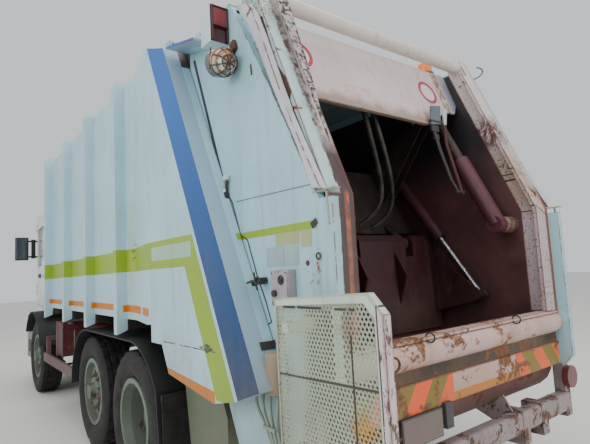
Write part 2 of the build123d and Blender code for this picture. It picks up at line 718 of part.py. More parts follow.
# Doors and their fixed panes
for name, side in (("left", 1), ("right", -1)):
    with BuildPart() as door:
        add(cab_skin.part)
        with Locations((side * side_x, (door_front_y + door_rear_y) / 2, (door_low_z + door_high_z) / 2)):
            Box(side_x, door_rear_y - door_front_y, door_high_z - door_low_z, mode=Mode.INTERSECT)
        with Locations((side * side_x, (door_glass_front_y + door_glass_rear_y) / 2,
                        (door_glass_low_z + door_glass_high_z) / 2)):
            Box(side_x, door_glass_rear_y - door_glass_front_y, door_glass_high_z - door_glass_low_z,
                mode=Mode.SUBTRACT)
        for hinge_z in (1480, 2520):
            with Locations((side * door_hinge_x, door_hinge_y, hinge_z)):
                Cylinder(20, 180, mode=Mode.SUBTRACT)
                Cylinder(13, 80)
            with Locations((side * (door_hinge_x - 6), door_hinge_y + 22, hinge_z)):
                Box(24, 40, 80)
            with Locations((side * door_hinge_x, door_hinge_y, hinge_z)):
                Cylinder(door_pin_radius + joint_gap, 100, mode=Mode.SUBTRACT)
    door.part.label = "door_" + name
    export_step(door.part, "parts/door_" + name + ".step")
    with BuildPart() as door_glass:
        add(cab_block(18))
        add(cab_block(18 + glass_thickness), mode=Mode.SUBTRACT)
        with Locations((side * side_x, (door_glass_front_y + door_glass_rear_y) / 2,
                        (door_glass_low_z + door_glass_high_z) / 2)):
            Box(side_x, door_glass_rear_y - door_glass_front_y - 2 * seat_gap,
                door_glass_high_z - door_glass_low_z - 2 * seat_gap, mode=Mode.INTERSECT)
    door_glass.part.label = "door_glass_" + name
    export_step(door_glass.part, "parts/door_glass_" + name + ".step")
    # mirror head on two tube arms from the door's front post
    with BuildPart() as mirror:
        with Locations((side * 1240, -3760, 2170)):
            Box(190, 70, 380)
        for arm_z in (2040, 2300):
            with Locations(Plane((side * 1000, -3830, arm_z), x_dir=(0, 0, 1),
                    z_dir=(side * 0.96, 0.28, 0))):
                Cylinder(14, 240, align=(Align.CENTER, Align.CENTER, Align.MIN))
        with Locations((side * 1060, -3820, 2170)):
            Box(60, 50, 320)
        add(cab_outer, mode=Mode.SUBTRACT)
    mirror.part.label = "mirror_" + name
    export_step(mirror.part, "parts/mirror_" + name + ".step")

# Steering knuckles: fork round the kingpin boss, stub axle and steering arm
fork_gap = 0.5
fork_lug = 34.0
tie_pin_radius = 14.0
tie_y = front_axle_y + steer_arm_length
arm_x = kingpin_x
for name, side in (("left", 1), ("right", -1)):
    with BuildPart() as knuckle:
        half = kingpin_boss_height / 2
        for end in (1, -1):
            with Locations((side * kingpin_x, front_axle_y,
                    axle_z + end * (half + fork_gap + fork_lug / 2))):
                Cylinder(kingpin_boss_radius, fork_lug)
                Box(2 * kingpin_boss_radius, 80, fork_lug,
                    align=(Align.MIN if side > 0 else Align.MAX, Align.CENTER, Align.CENTER))
        with Locations((side * (kingpin_x + 2 * kingpin_boss_radius - 20), front_axle_y, axle_z)):
            Box(40, 100, kingpin_boss_height + 2 * (fork_lug + fork_gap))
        stub_start = side * (kingpin_x + 2 * kingpin_boss_radius - 20)
        with Locations(Plane((stub_start, front_axle_y, axle_z), x_dir=(0, 1, 0), z_dir=(side, 0, 0))):
            Cylinder(stub_radius, front_wheel_x + 80 - abs(stub_start),
                     align=(Align.CENTER, Align.CENTER, Align.MIN))
        with BuildSketch(Plane.XY.offset(steer_arm_z)):
            with BuildLine():
                Polyline(
                    (side * (kingpin_x - 30), front_axle_y - 30),
                    (side * (kingpin_x + 40), front_axle_y - 30),
                    (side * (arm_x + 28), tie_y + 24), (side * (arm_x - 28), tie_y + 24), close=True,
                )
            make_face()
        extrude(amount=30)
        with Locations((side * kingpin_x, front_axle_y, (steer_arm_z + axle_z - half - fork_gap) / 2)):
            Cylinder(kingpin_boss_radius - 8, axle_z - half - fork_gap - steer_arm_z)
        with Locations((side * arm_x, tie_y, steer_arm_z)):
            Cylinder(tie_pin_radius, 50, align=(Align.CENTER, Align.CENTER, Align.MAX))
    knuckle.part.label = "knuckle_" + name
    export_step(knuckle.part, "parts/knuckle_" + name + ".step")

# Tie rod between the two steering arms
with BuildPart() as tie_rod:
    rod_z = steer_arm_z - 25
    with Locations(Plane((0, tie_y, rod_z), x_dir=(0, 1, 0), z_dir=(1, 0, 0))):
        Cylinder(18, 2 * arm_x - 40)
    for side in (1, -1):
        with Locations((side * arm_x, tie_y, rod_z)):
            Cylinder(26, 40)
            Cylinder(tie_pin_radius + joint_gap, 60, mode=Mode.SUBTRACT)
tie_rod.part.label = "tie_rod"
export_step(tie_rod.part, "parts/tie_rod.step")

# Wheels. Half-profiles are drawn as (x, radius) and turned about the axle.
# x, radius of a single tyre's outline, from the inner bead round the tread to the outer bead
half_tread = 0.38 * tyre_width
tyre_outline = (
    (-107.7, bead_radius + seat_gap), (-107.7, 312.0), (-0.5 * tyre_width, 395.0),
    (-0.46 * tyre_width, 480.0),
    (-half_tread, tyre_radius), (half_tread, tyre_radius), (0.46 * tyre_width, 480.0),
    (0.5 * tyre_width, 395.0),
    (107.7, 312.0), (107.7, bead_radius + seat_gap),
)
single_rim_outline = (
    (122, 310), (122, 272), (66, 260), (84, 205), (84, 140), (104, 132), (112, 78), (156, 70), (156, 0),
    (94, 0),
    (94, stub_radius + joint_gap), (-70, stub_radius + joint_gap), (-70, 150), (-40, 190), (40, 190),
    (64, 205),
    (46, 256), (-46, 256), (-122, 272), (-122, 310), (-108, 310), (-108, bead_radius), (108, bead_radius),
    (108, 310),
)
twin_rim_outline = (
    (282, 310), (282, 272), (214, 256), (66, 256), (16, 215), (16, 122), (150, 112), (168, 92), (168, 0),
    (104, 0),
    (104, stub_radius + joint_gap), (-232, stub_radius + joint_gap), (-232, 205), (-16, 205), (-16, 215),
    (-66, 256),
    (-214, 256), (-282, 272), (-282, 310), (-268, 310), (-268, bead_radius), (-52, bead_radius), (-52, 310),
    (-38, 310), (-38, 275), (38, 275), (38, 310), (52, 310), (52, bead_radius), (268, bead_radius),
    (268, 310),
)
# position name, wheel centre x, axle y, twin wheel or not
wheel_places = (
    ("front", front_wheel_x, front_axle_y, False),
    ("second", second_wheel_x, second_axle_y, False),
    ("drive", twin_wheel_x, drive_axle_y, True),
)
for position, wheel_x, axle_y, twin in wheel_places:
    for name, side in (("left", 1), ("right", -1)):
        hub = Plane((side * wheel_x, axle_y, axle_z), x_dir=(side, 0, 0), z_dir=(0, -side, 0))
        axle_line = Axis((side * wheel_x, axle_y, axle_z), (side, 0, 0))
        with BuildPart() as tyre:
            for shift in ((-twin_half_spacing, twin_half_spacing) if twin else (0,)):
                width_ratio = twin_tyre_width / tyre_width if twin else 1.0
                with BuildSketch(hub):
                    with BuildLine():
                        Polyline(*[(shift + u * (width_ratio if abs(u) > 108 else 1), v) for u,
                                v in tyre_outline],
                                 close=True)
                    make_face()
                revolve(axis=axle_line)
        tyre.part.label = "tyre_" + position + "_" + name
        export_step(tyre.part, "parts/tyre_" + position + "_" + name + ".step")
        with BuildPart() as rim:
            with BuildSketch(hub):
                with BuildLine():
                    Polyline(*(twin_rim_outline if twin else single_rim_outline), close=True)
                make_face()
            revolve(axis=axle_line)
            disc_x = side * (wheel_x + (0 if twin else 74))
            with Locations(Plane((disc_x, axle_y, axle_z), x_dir=(0, 1, 0), z_dir=(1, 0, 0))):
                with PolarLocations(hand_hole_circle, hand_hole_count):
                    Cylinder(hand_hole_radius, 70, mode=Mode.SUBTRACT)
        rim.part.label = "rim_" + position + "_" + name
        export_step(rim.part, "parts/rim_" + position + "_" + name + ".step")

# Tailgate sides: outer skin with the bent rear edge, and the thick inner side down to the bowl
low_hinge_y = blade_hinge_y - carriage_travel * slide_y
low_hinge_z = blade_hinge_z - carriage_travel * slide_z
tip_angle = radians(9.0)
tip_low = (low_hinge_y + blade_reach * sin(tip_angle), low_hinge_z - blade_reach * cos(tip_angle))
# the ramp runs up the slant in front of the blade tip's path
tip_n = (tip_low[0] - low_hinge_y) * slide_z - (tip_low[1] - low_hinge_z) * slide_y
ramp_n = tip_n - ramp_offset
ramp_foot_s = -sqrt(bowl_radius**2 - ramp_n**2)
ramp_foot = along_slant(ramp_foot_s, ramp_n, low_hinge_y, low_hinge_z)
throat_z = floor_top_z
throat_y = ramp_foot[0] + (throat_z - ramp_foot[1]) / slide_z * slide_y
sill_back_angle = atan2(sill_top_z - low_hinge_z, sqrt(bowl_radius**2 - (sill_top_z - low_hinge_z) ** 2))
sill_inner_y = low_hinge_y + bowl_radius * cos(sill_back_angle)
ramp_angle = atan2(ramp_foot[1] - low_hinge_z, ramp_foot[0] - low_hinge_y)
bowl_mid_angle = (sill_back_angle + ramp_angle) / 2
shell_radius = bowl_radius + bowl_thickness


def bowl_point(radius, angle):
    return (low_hinge_y + radius * cos(angle), low_hinge_z + radius * sin(angle))


side_low = 24.0
gate_foot_z = low_hinge_z - shell_radius - side_low
with BuildPart() as tailgate_sides:
    for side in (1, -1):
        with BuildSketch(Plane.YZ.offset(side * (gate_outer_x + column_outer_x) / 2)):
            with BuildLine():
                Polyline(
                    (gate_front_y, gate_top_z), (gate_front_y, throat_z - 40),
                    (throat_y - 60, throat_z - 40),
                    (ramp_foot[0] - 60, gate_foot_z), (ramp_foot[0] + 180, gate_foot_z), (3400, 770),
                    (3560, 838), (3712, 838), (edge_foot_y, 905), (edge_foot_y, edge_bend_z),
                    (3685, edge_bend_z), (3329, 2560), (3039, 3071), (3000, gate_top_z), close=True,
                )
            make_face()
        extrude(amount=(gate_outer_x - column_outer_x) / 2, both=True)
        with BuildSketch(Plane.YZ.offset(side * (gate_liner_x + column_outer_x) / 2)):
            with BuildLine():
                Polyline(
                    (gate_front_y, gate_top_z), (gate_front_y, throat_z - 40),
                    (throat_y - 60, throat_z - 40),
                    (ramp_foot[0] - 60, gate_foot_z), (ramp_foot[0] + 180, gate_foot_z), (3400, 800),
                    (3545, column_foot_z), (column_rear_y - column_depth, column_foot_z),
                    (column_rear_y - column_depth, column_bend_z),
                    (column_face(gate_top_z) - column_depth, gate_top_z), close=True,
                )
            make_face()
        extrude(amount=(column_outer_x - gate_liner_x) / 2, both=True)
        # the wall's inside, open towards the container
        with BuildSketch(Plane.YZ.offset(side * (gate_liner_x + gate_outer_x) / 2)):
            with BuildLine():
                Polyline(
                    (gate_front_y - 20, gate_top_z - 25), (gate_front_y - 20, throat_z),
                    (throat_y - 30, throat_z),
                    (ramp_foot[0] - 20, gate_foot_z + 30), (ramp_foot[0] + 170, gate_foot_z + 30),
                    (3370, 820),
                    (3500, column_foot_z + 30), (column_rear_y - column_depth - 25, column_foot_z + 30),
                    (column_rear_y - column_depth - 25, column_bend_z - 10),
                    (column_face(gate_top_z) - column_depth - 40, gate_top_z - 25), close=True,
                )
            make_face()
        extrude(amount=(gate_outer_x - gate_liner_x) / 2 - gate_skin, both=True, mode=Mode.SUBTRACT)
tailgate_sides.part.label = "tailgate_sides"
export_step(tailgate_sides.part, "parts/tailgate_sides.step")

# Columns: bent box sections at the mouth with a rear flange toward the middle
with BuildPart() as tailgate_columns:
    for side in (1, -1):
        with BuildSketch(Plane.YZ.offset(side * (column_inner_x + column_outer_x) / 2)):
            with BuildLine():
                Polyline(
                    (column_rear_y, stand_z), (column_rear_y, column_bend_z),
                    (column_face(column_head_z), column_head_z),
                    (column_face(gate_top_z) - column_depth + 11, column_head_z),
                    (column_face(gate_top_z) - column_depth, gate_top_z),
                    (column_rear_y - column_depth, column_bend_z),
                    (column_rear_y - column_depth, stand_z), close=True,
                )
            make_face()
        extrude(amount=(column_outer_x - column_inner_x) / 2, both=True)
        with BuildSketch(Plane.YZ.offset(side * (column_inner_x + column_flange_x) / 2)):
            with BuildLine():
                Polyline(
                    (column_rear_y, sill_top_z), (column_rear_y, column_bend_z),
                    (column_face(column_flange_z), column_flange_z),
                    (column_face(column_flange_z) - column_flange_depth, column_flange_z),
                    (column_rear_y - column_flange_depth, column_bend_z - 4),
                    (column_rear_y - column_flange_depth, sill_top_z), close=True,
                )
            make_face()
        extrude(amount=(column_inner_x - column_flange_x) / 2, both=True)
tailgate_columns.part.label = "tailgate_columns"
export_step(tailgate_columns.part, "parts/tailgate_columns.step")

# Tailgate roof with the side lips and the hinge ears
lip_thickness = 14.0
with BuildPart() as tailgate_roof:
    with Locations((0, (gate_front_y + roof_rear_y) / 2, gate_top_z + gate_roof_thickness / 2)):
        Box(2 * gate_outer_x, roof_rear_y - gate_front_y, gate_roof_thickness)
    for side in (1, -1):
        with BuildSketch(Plane.YZ.offset(side * (gate_outer_x + side_x) / 2)):
            with BuildLine():
                Polyline(
                    (2440, 3060), (2440, 3060 + lip_thickness), (2835, 2953 + lip_thickness),
                    (2835, 2953), close=True
                )
            make_face()
        extrude(amount=(side_x - gate_outer_x) / 2, both=True)
        for ear_x in (gate_lug_x - 52, gate_lug_x + 52):
            with BuildSketch(Plane.YZ.offset(side * ear_x)):
                with BuildLine():
                    Polyline(
                        (gate_hinge_y + 10, gate_top_z + 10), (gate_hinge_y + 150, gate_top_z + 10),
                        (gate_hinge_y + 14, gate_hinge_z + 12), (gate_hinge_y - 14, gate_hinge_z - 10),
                        close=True,
                    )
                make_face()
                with Locations((gate_hinge_y, gate_hinge_z)):
                    Circle(gate_ear_radius)
            extrude(amount=14, both=True)
        with Locations(Plane((side * gate_lug_x, gate_hinge_y, gate_hinge_z), x_dir=(0, 1, 0),
                z_dir=(1, 0, 0))):
            Cylinder(gate_pin_radius, 120)
tailgate_roof.part.label = "tailgate_roof"
export_step(tailgate_roof.part, "parts/tailgate_roof.step")

# Header plate between the sides, with a lip folded forward under the roof
header_high_y = header_low_y - header_slope * (header_high_z - header_low_z)
with BuildPart() as tailgate_header:
    with BuildSketch(Plane.YZ):
        with BuildLine():
            Polyline(
                (header_low_y, header_low_z), (header_high_y, header_high_z),
                (header_high_y - header_lip_depth, header_high_z),
                (header_high_y - header_lip_depth, header_high_z - 12),
                (header_high_y - header_thickness + 4, header_high_z - 12),
                (header_low_y - header_thickness, header_low_z), close=True,
            )
        make_face()
    extrude(amount=gate_liner_x, both=True)
tailgate_header.part.label = "tailgate_header"
export_step(tailgate_header.part, "parts/tailgate_header.step")

# Cross tube between the column heads
with BuildPart() as cross_tube:
    with Locations(Plane((0, tube_y, tube_z), x_dir=(0, 1, 0), z_dir=(1, 0, 0))):
        Cylinder(tube_radius, 2 * column_inner_x)
cross_tube.part.label = "cross_tube"
export_step(cross_tube.part, "parts/cross_tube.step")

# Sill: top flange, round bulge, web and the striped board below
sill_half_width = column_outer_x - seat_gap
with BuildPart() as tailgate_sill:
    bulge_y = sill_inner_y + sill_bulge_radius - 30
    with Locations(Plane((0, bulge_y, sill_bulge_z), x_dir=(0, 1, 0), z_dir=(1, 0, 0))):
        Cylinder(sill_bulge_radius, 2 * sill_half_width)
    with Locations((0, sill_inner_y + 45, stand_z - 8)):
        Box(2 * sill_half_width, 90, 16)
    with Locations((0, sill_inner_y + 45, sill_top_z - 10)):
        Box(2 * (column_flange_x - seat_gap), 90, 20)
    with Locations((0, sill_inner_y + 45, (board_low_z + 60 + stand_z) / 2)):
        Box(2 * sill_half_width, 24, stand_z - board_low_z - 60)
    with Locations((0, sill_inner_y + 64, (board_low_z + board_high_z) / 2)):
        Box(2 * sill_half_width, 14, board_high_z - board_low_z)
    with Locations(Plane((0, low_hinge_y, low_hinge_z), x_dir=(0, 1, 0), z_dir=(1, 0, 0))):
        Cylinder(shell_radius + seat_gap, 2 * side_x, mode=Mode.SUBTRACT)
tailgate_sill.part.label = "tailgate_sill"
export_step(tailgate_sill.part, "parts/tailgate_sill.step")

# Hopper bowl: arc swept by the blade, ramp and throat plate up to the container's floor
with BuildPart() as hopper_bowl:
    with BuildSketch(Plane.YZ):
        with BuildLine():
            inner = ThreePointArc(
                bowl_point(bowl_radius, sill_back_angle), bowl_point(bowl_radius, bowl_mid_angle), ramp_foot
            )
            outer_foot = bowl_point(shell_radius, ramp_angle)
            outer = ThreePointArc(
                bowl_point(shell_radius, sill_back_angle), bowl_point(shell_radius,
                        bowl_mid_angle), outer_foot
            )
            Line(inner @ 0, outer @ 0)
            Polyline(
                ramp_foot, (throat_y, throat_z), (gate_front_y, throat_z), (gate_front_y,
                        throat_z - bowl_thickness),
                (throat_y - 20, throat_z - bowl_thickness), outer_foot,
            )
        make_face()
    extrude(amount=gate_liner_x, both=True)
hopper_bowl.part.label = "hopper_bowl"
export_step(hopper_bowl.part, "parts/hopper_bowl.step")

# Side screen on the left: plate in a flat-bar frame on two arms
post_x = 1125.0
underrun_height = 125.0
underrun_depth = 90.0
underrun_z = 575.0
hanger_x = 430.0
post_y = sill_inner_y + 35.0
screen_outline = ((3540.0, 560.0), (3540.0, 1462.0), (4090.0, 1490.0), (rear_y, 1417.0), (rear_y, 560.0))
screen_plate = 8.0
screen_bar = 40.0
with BuildPart() as side_screen:
    with BuildSketch(Plane.YZ.offset(side_x - screen_plate)):
        with BuildLine():
            Polyline(*screen_outline, close=True)
        make_face()
    extrude(amount=screen_plate)
    with BuildSketch(Plane.YZ.offset(side_x - screen_bar)):
        with BuildLine():
            Polyline(*screen_outline, close=True)
        make_face()
        offset(amount=-6, kind=Kind.INTERSECTION, mode=Mode.SUBTRACT)
    extrude(amount=screen_bar)
    with Locations(((gate_outer_x + side_x - 4) / 2, 3600, 1340)):
        Box(side_x - 4 - gate_outer_x, 50, 50)
    post_face_x = 2 * post_x - gate_outer_x + seat_gap
    with Locations(((post_face_x + side_x - 4) / 2, post_y - 10, 640)):
        Box(side_x - 4 - post_face_x, 50, 50)
side_screen.part.label = "side_screen"
export_step(side_screen.part, "parts/side_screen.step")

# Under-run beam on two outer posts and two hangers from the bowl
beam_low_z = underrun_z - underrun_height / 2
with BuildPart() as underrun_bar:
    with BuildSketch(Plane.YZ):
        with Locations((post_y, underrun_z)):
            RectangleRounded(underrun_depth, underrun_height, 24)
    extrude(amount=post_x - 10, both=True)
    for side in (1, -1):
        with Locations((side * post_x, post_y - 10, (beam_low_z - 40 + board_high_z) / 2)):
            Box(2 * (post_x - gate_outer_x), 70, board_high_z - beam_low_z + 40)
        with BuildSketch(Plane.YZ.offset(side * hanger_x)):
            with BuildLine():
                Polyline(
                    (post_y + 30, underrun_z), (post_y - 40, underrun_z - 50), (low_hinge_y + 420, 640),
                    (low_hinge_y + 420, 860), (low_hinge_y + 560, 940), close=True,
                )
            make_face()
        extrude(amount=9, both=True)
    with Locations(Plane((0, low_hinge_y, low_hinge_z), x_dir=(0, 1, 0), z_dir=(1, 0, 0))):
        Cylinder(shell_radius + seat_gap, 2 * (gate_liner_x - 20), mode=Mode.SUBTRACT)
underrun_bar.part.label = "underrun_bar"
export_step(underrun_bar.part, "parts/underrun_bar.step")

# Lamps: box lamp with a caged work lamp on the left flank, round lamps on the posts, beacon on the roof
work_lamp = (gate_outer_x + 86, 3010, 2760)
post_lamp_z = 740.0
beacon_place = (-865.0, 2905.0)
with BuildPart() as rear_lamps:
    with Locations((gate_outer_x + 57, 2900, 3020)):
        Box(114, 120, 220)
    with Locations((gate_outer_x + 57, 2966, 3060)):
        Box(86, 14, 100)
    with Locations(Plane(work_lamp, x_dir=(1, 0, 0), z_dir=(0, 1, -0.35))):
        Cylinder(80, 70)
        with Locations((0, 0, 35)):
            Cone(78, 46, 60, align=(Align.CENTER, Align.CENTER, Align.MIN))
    with Locations((gate_outer_x + 28, 2965, 2778)):
        Box(56, 60, 40)
    for side in (1, -1):
        with Locations(Plane((side * (post_x + 3), post_y + 25 + seat_gap, post_lamp_z), x_dir=(1, 0, 0),
                             z_dir=(0, 1, 0))):
            Cylinder(75, 42, align=(Align.CENTER, Align.CENTER, Align.MIN))
    with Locations((beacon_place[0], beacon_place[1], gate_top_z + gate_roof_thickness + 15)):
        Cylinder(70, 30)
        Cylinder(58, 90, align=(Align.CENTER, Align.CENTER, Align.MIN))
rear_lamps.part.label = "rear_lamps"
export_step(rear_lamps.part, "parts/rear_lamps.step")

# Control box with two round switches on the left flank
with BuildPart() as control_box:
    with Locations((gate_outer_x + 35, 3385, 1500)):
        Box(70, 130, 190)
    for knob_z in (1545, 1480):
        with Locations(Plane((gate_outer_x + 70, 3385, knob_z), x_dir=(0, 1, 0), z_dir=(1, 0, 0))):
            Cylinder(20, 16, align=(Align.CENTER, Align.CENTER, Align.MIN))
control_box.part.label = "control_box"
export_step(control_box.part, "parts/control_box.step")

# Sump tray under the joint between container and tailgate
tray_wall = 12.0
tray_top_z = floor_bottom_z - 90 - seat_gap
# y, z of the tray's outline
tray_outline = (
    (container_rear_y - 80, tray_top_z), (container_rear_y + 280, tray_top_z),
    (container_rear_y + 480, 760.0),
    (container_rear_y + 480, 470.0), (container_rear_y - 10, 470.0), (container_rear_y - 80, 900.0),
)
with BuildPart() as sump_tray:
    with BuildSketch(Plane.YZ):
        with BuildLine():
            Polyline(*tray_outline, close=True)
        make_face()
    extrude(amount=gate_outer_x, both=True)
    with BuildSketch(Plane.YZ):
        with BuildLine():
            Polyline(*tray_outline, close=True)
        make_face()
        offset(amount=-tray_wall, kind=Kind.INTERSECTION)
    extrude(amount=gate_outer_x - tray_wall, both=True, mode=Mode.SUBTRACT)
    with Locations((0, container_rear_y + 150, tray_top_z)):
        Box(2 * (gate_outer_x - tray_wall), 220, 60, mode=Mode.SUBTRACT)
sump_tray.part.label = "sump_tray"
export_step(sump_tray.part, "parts/sump_tray.step")

# Packer carriage: plate along the slant with hinge lugs, cylinder lugs and side arms
plate_back = -60.0
plate_front = -110.0
carriage_low_s = 130.0
carriage_high_s = 760.0
blade_pin_s = 638.0
blade_pin_n = 59.0
carriage_pin_s = 830.0
carriage_pin_n = 715.0
barrel_low_s = -259.0
barrel_length = 575.0
barrel_end = 20.0
carriage_rod_length = carriage_pin_s - barrel_low_s - barrel_end - carriage_travel - 10
hinge_lug_x = (-600.0, 0.0, 600.0)
hinge_lug_width = 70.0
with BuildPart() as packer_carriage:
    with BuildSketch(Plane.YZ):
        with BuildLine():
            Polyline(
                along_slant(carriage_low_s, plate_front), along_slant(carriage_high_s, plate_front),
                along_slant(carriage_high_s, plate_back), along_slant(carriage_low_s,
                        plate_back), close=True,
            )
        make_face()
    extrude(amount=blade_half_width, both=True)
    for lug_x in hinge_lug_x:
        with BuildSketch(Plane.YZ.offset(lug_x)):
            with BuildLine():
                Polyline(
                    along_slant(carriage_low_s + 80, plate_front), along_slant(-20, -hinge_barrel_radius),
                    along_slant(-20, hinge_barrel_radius - 5), along_slant(carriage_low_s + 80,
                            plate_back), close=True,
                )
            make_face()
            with Locations((blade_hinge_y, blade_hinge_z)):
                Circle(hinge_barrel_radius)
        extrude(amount=hinge_lug_width / 2, both=True)
    with Locations(Plane((0, blade_hinge_y, blade_hinge_z), x_dir=(0, 1, 0), z_dir=(1, 0, 0))):
        Cylinder(hinge_pin_radius, 2 * blade_half_width)
    for side in (1, -1):
        for arm_x in (carriage_cylinder_x - 45, carriage_cylinder_x + 45):
            with BuildSketch(Plane.YZ.offset(side * arm_x)):
                with BuildLine():
                    Polyline(
                        along_slant(430, plate_back), along_slant(carriage_high_s, plate_back),
                        along_slant(carriage_pin_s + 40, carriage_pin_n - 60),
                        along_slant(carriage_pin_s + 40, carriage_pin_n + 40),
                        along_slant(carriage_pin_s - 50, carriage_pin_n + 40),
                        along_slant(carriage_pin_s - 80, carriage_pin_n - 120), close=True,
                    )
                make_face()
            extrude(amount=8, both=True)
        with BuildSketch(Plane.YZ.offset(side * (blade_cylinder_x - 62))):
            with BuildLine():
                Polyline(
                    along_slant(blade_pin_s - 90, plate_back), along_slant(carriage_high_s, plate_back),
                    along_slant(blade_pin_s + 40, blade_pin_n + 40), along_slant(blade_pin_s - 40,
                            blade_pin_n + 40),
                    close=True,
                )
            make_face()
        extrude(amount=8, both=True)
        pin = along_slant(blade_pin_s, blade_pin_n)
        with Locations(Plane((side * (blade_cylinder_x - 55), pin[0], pin[1]), x_dir=(0, 1, 0),
                z_dir=(side, 0, 0))):
            Cylinder(20, 90, align=(Align.CENTER, Align.CENTER, Align.MIN))
        rod_foot = along_slant(carriage_pin_s, carriage_pin_n)
        with Locations(Plane((side * carriage_cylinder_x, rod_foot[0], rod_foot[1]), x_dir=(0, 1, 0),
                             z_dir=(side, 0, 0))):
            Cylinder(45, 90 - 16)
        with Locations(Plane((side * carriage_cylinder_x, rod_foot[0], rod_foot[1]), x_dir=(1, 0, 0),
                             z_dir=(0, -slide_y, -slide_z))):
            Cylinder(carriage_rod_radius, carriage_rod_length, align=(Align.CENTER, Align.CENTER, Align.MIN))
        for shoe_s in (carriage_low_s + 80, carriage_high_s - 80):
            shoe = along_slant(shoe_s, (plate_front + plate_back) / 2)
            with Locations(Plane((side * (blade_half_width + gate_liner_x - seat_gap) / 2, shoe[0], shoe[1]),
                                 x_dir=(0, slide_y, slide_z), z_dir=(1, 0, 0))):
                Box(120, 44, gate_liner_x - seat_gap - blade_half_width)
packer_carriage.part.label = "packer_carriage"
export_step(packer_carriage.part, "parts/packer_carriage.step")

# Carriage cylinders: barrels on bosses at the column bends, bored for their rods
boss = along_slant(barrel_low_s, carriage_pin_n)
with BuildPart() as carriage_cylinders:
    for side in (1, -1):
        with Locations(Plane((side * carriage_cylinder_x, boss[0], boss[1]), x_dir=(1, 0, 0),
                             z_dir=(0, slide_y, slide_z))):
            Cylinder(carriage_cylinder_radius, barrel_length, align=(Align.CENTER, Align.CENTER, Align.MIN))
        with Locations(Plane((side * (carriage_cylinder_x - 50), boss[0], boss[1]), x_dir=(0, 1, 0),
                             z_dir=(side, 0, 0))):
            Cylinder(58, gate_liner_x - carriage_cylinder_x + 50,
                    align=(Align.CENTER, Align.CENTER, Align.MIN))
        rod_mouth = along_slant(barrel_low_s + barrel_length, carriage_pin_n)
        with Locations(Plane((side * carriage_cylinder_x, rod_mouth[0], rod_mouth[1]), x_dir=(1, 0, 0),
                             z_dir=(0, -slide_y, -slide_z))):
            Cylinder(carriage_rod_radius + joint_gap, barrel_length - barrel_end,
                    align=(Align.CENTER, Align.CENTER, Align.MIN),
                     mode=Mode.SUBTRACT)
carriage_cylinders.part.label = "carriage_cylinders"
export_step(carriage_cylinders.part, "parts/carriage_cylinders.step")

# Packer blade: box section with hinge barrels, stiffening gussets and one lug a side for the rods
# y, z offsets from the hinge
blade_outline = (
    (-46.0, 40.0), (50.0, 62.0), (80.0, 10.0), (112.0, -480.0),
    (blade_reach * sin(tip_angle), -blade_reach * cos(tip_angle)), (80.0, -690.0), (24.0, -300.0),
    (-52.0, -60.0),
)
lug_y = 506.0
lug_z = -428.0
with BuildPart() as packer_blade:
    with BuildSketch(Plane.YZ):
        with BuildLine():
            Polyline(*[(blade_hinge_y + y, blade_hinge_z + z) for y, z in blade_outline], close=True)
        make_face()
    extrude(amount=blade_half_width, both=True)
    for side in (1, -1):
        with BuildSketch(Plane.YZ.offset(side * (blade_cylinder_x - 42))):
            with BuildLine():
                Polyline(
                    (blade_hinge_y + 84, blade_hinge_z - 60),
                    (blade_hinge_y + lug_y, blade_hinge_z + lug_z + 45),
                    (blade_hinge_y + lug_y + 40, blade_hinge_z + lug_z - 10),
                    (blade_hinge_y + lug_y - 30, blade_hinge_z + lug_z - 45),
                    (blade_hinge_y + 112, blade_hinge_z - 560), close=True,
                )
            make_face()
        extrude(amount=7, both=True)
    for gusset_x in (-420, 0, 420):
        with BuildSketch(Plane.YZ.offset(gusset_x)):
            with BuildLine():
                Polyline(
                    (blade_hinge_y + 84, blade_hinge_z - 60), (blade_hinge_y + 190, blade_hinge_z - 250),
                    (blade_hinge_y + 108, blade_hinge_z - 480), close=True,
                )
            make_face()
        extrude(amount=8, both=True)
    with Locations(Plane((0, blade_hinge_y, blade_hinge_z), x_dir=(0, 1, 0), z_dir=(1, 0, 0))):
        Cylinder(hinge_barrel_radius + 8, 2 * blade_half_width)
        Cylinder(hinge_pin_radius + joint_gap, 2 * blade_half_width + 20, mode=Mode.SUBTRACT)
    for lug_x in hinge_lug_x:
        with Locations(Plane((lug_x, blade_hinge_y, blade_hinge_z), x_dir=(0, 1, 0), z_dir=(1, 0, 0))):
            Cylinder(140, hinge_lug_width + 2 * moving_gap, mode=Mode.SUBTRACT)
packer_blade.part.label = "packer_blade"
export_step(packer_blade.part, "parts/packer_blade.step")

# Blade cylinders: barrels pinned to the carriage, rods towards the blade's lugs
pin_y, pin_z = along_slant(blade_pin_s, blade_pin_n)
reach_y = blade_hinge_y + lug_y - pin_y
reach_z = blade_hinge_z + lug_z - pin_z
cylinder_length = hypot(reach_y, reach_z)
cylinder_dir = (0, reach_y / cylinder_length, reach_z / cylinder_length)
blade_barrel_length = 700.0
with BuildPart() as blade_barrels:
    for side in (1, -1):
        with Locations(Plane((side * blade_cylinder_x, pin_y, pin_z), x_dir=(1, 0, 0), z_dir=cylinder_dir)):
            Cylinder(blade_cylinder_radius, blade_barrel_length,
                    align=(Align.CENTER, Align.CENTER, Align.MIN))
        with Locations(Plane((side * blade_cylinder_x, pin_y, pin_z), x_dir=(0, 1, 0), z_dir=(1, 0, 0))):
            Cylinder(44, 70)
            Cylinder(20 + joint_gap, 200, mode=Mode.SUBTRACT)
        with Locations(Plane((side * blade_cylinder_x, pin_y, pin_z), x_dir=(1, 0, 0), z_dir=cylinder_dir)):
            with Locations((0, 0, 80)):
                Cylinder(blade_rod_radius + joint_gap, blade_barrel_length, mode=Mode.SUBTRACT,
                         align=(Align.CENTER, Align.CENTER, Align.MIN))
blade_barrels.part.label = "blade_barrels"
export_step(blade_barrels.part, "parts/blade_barrels.step")

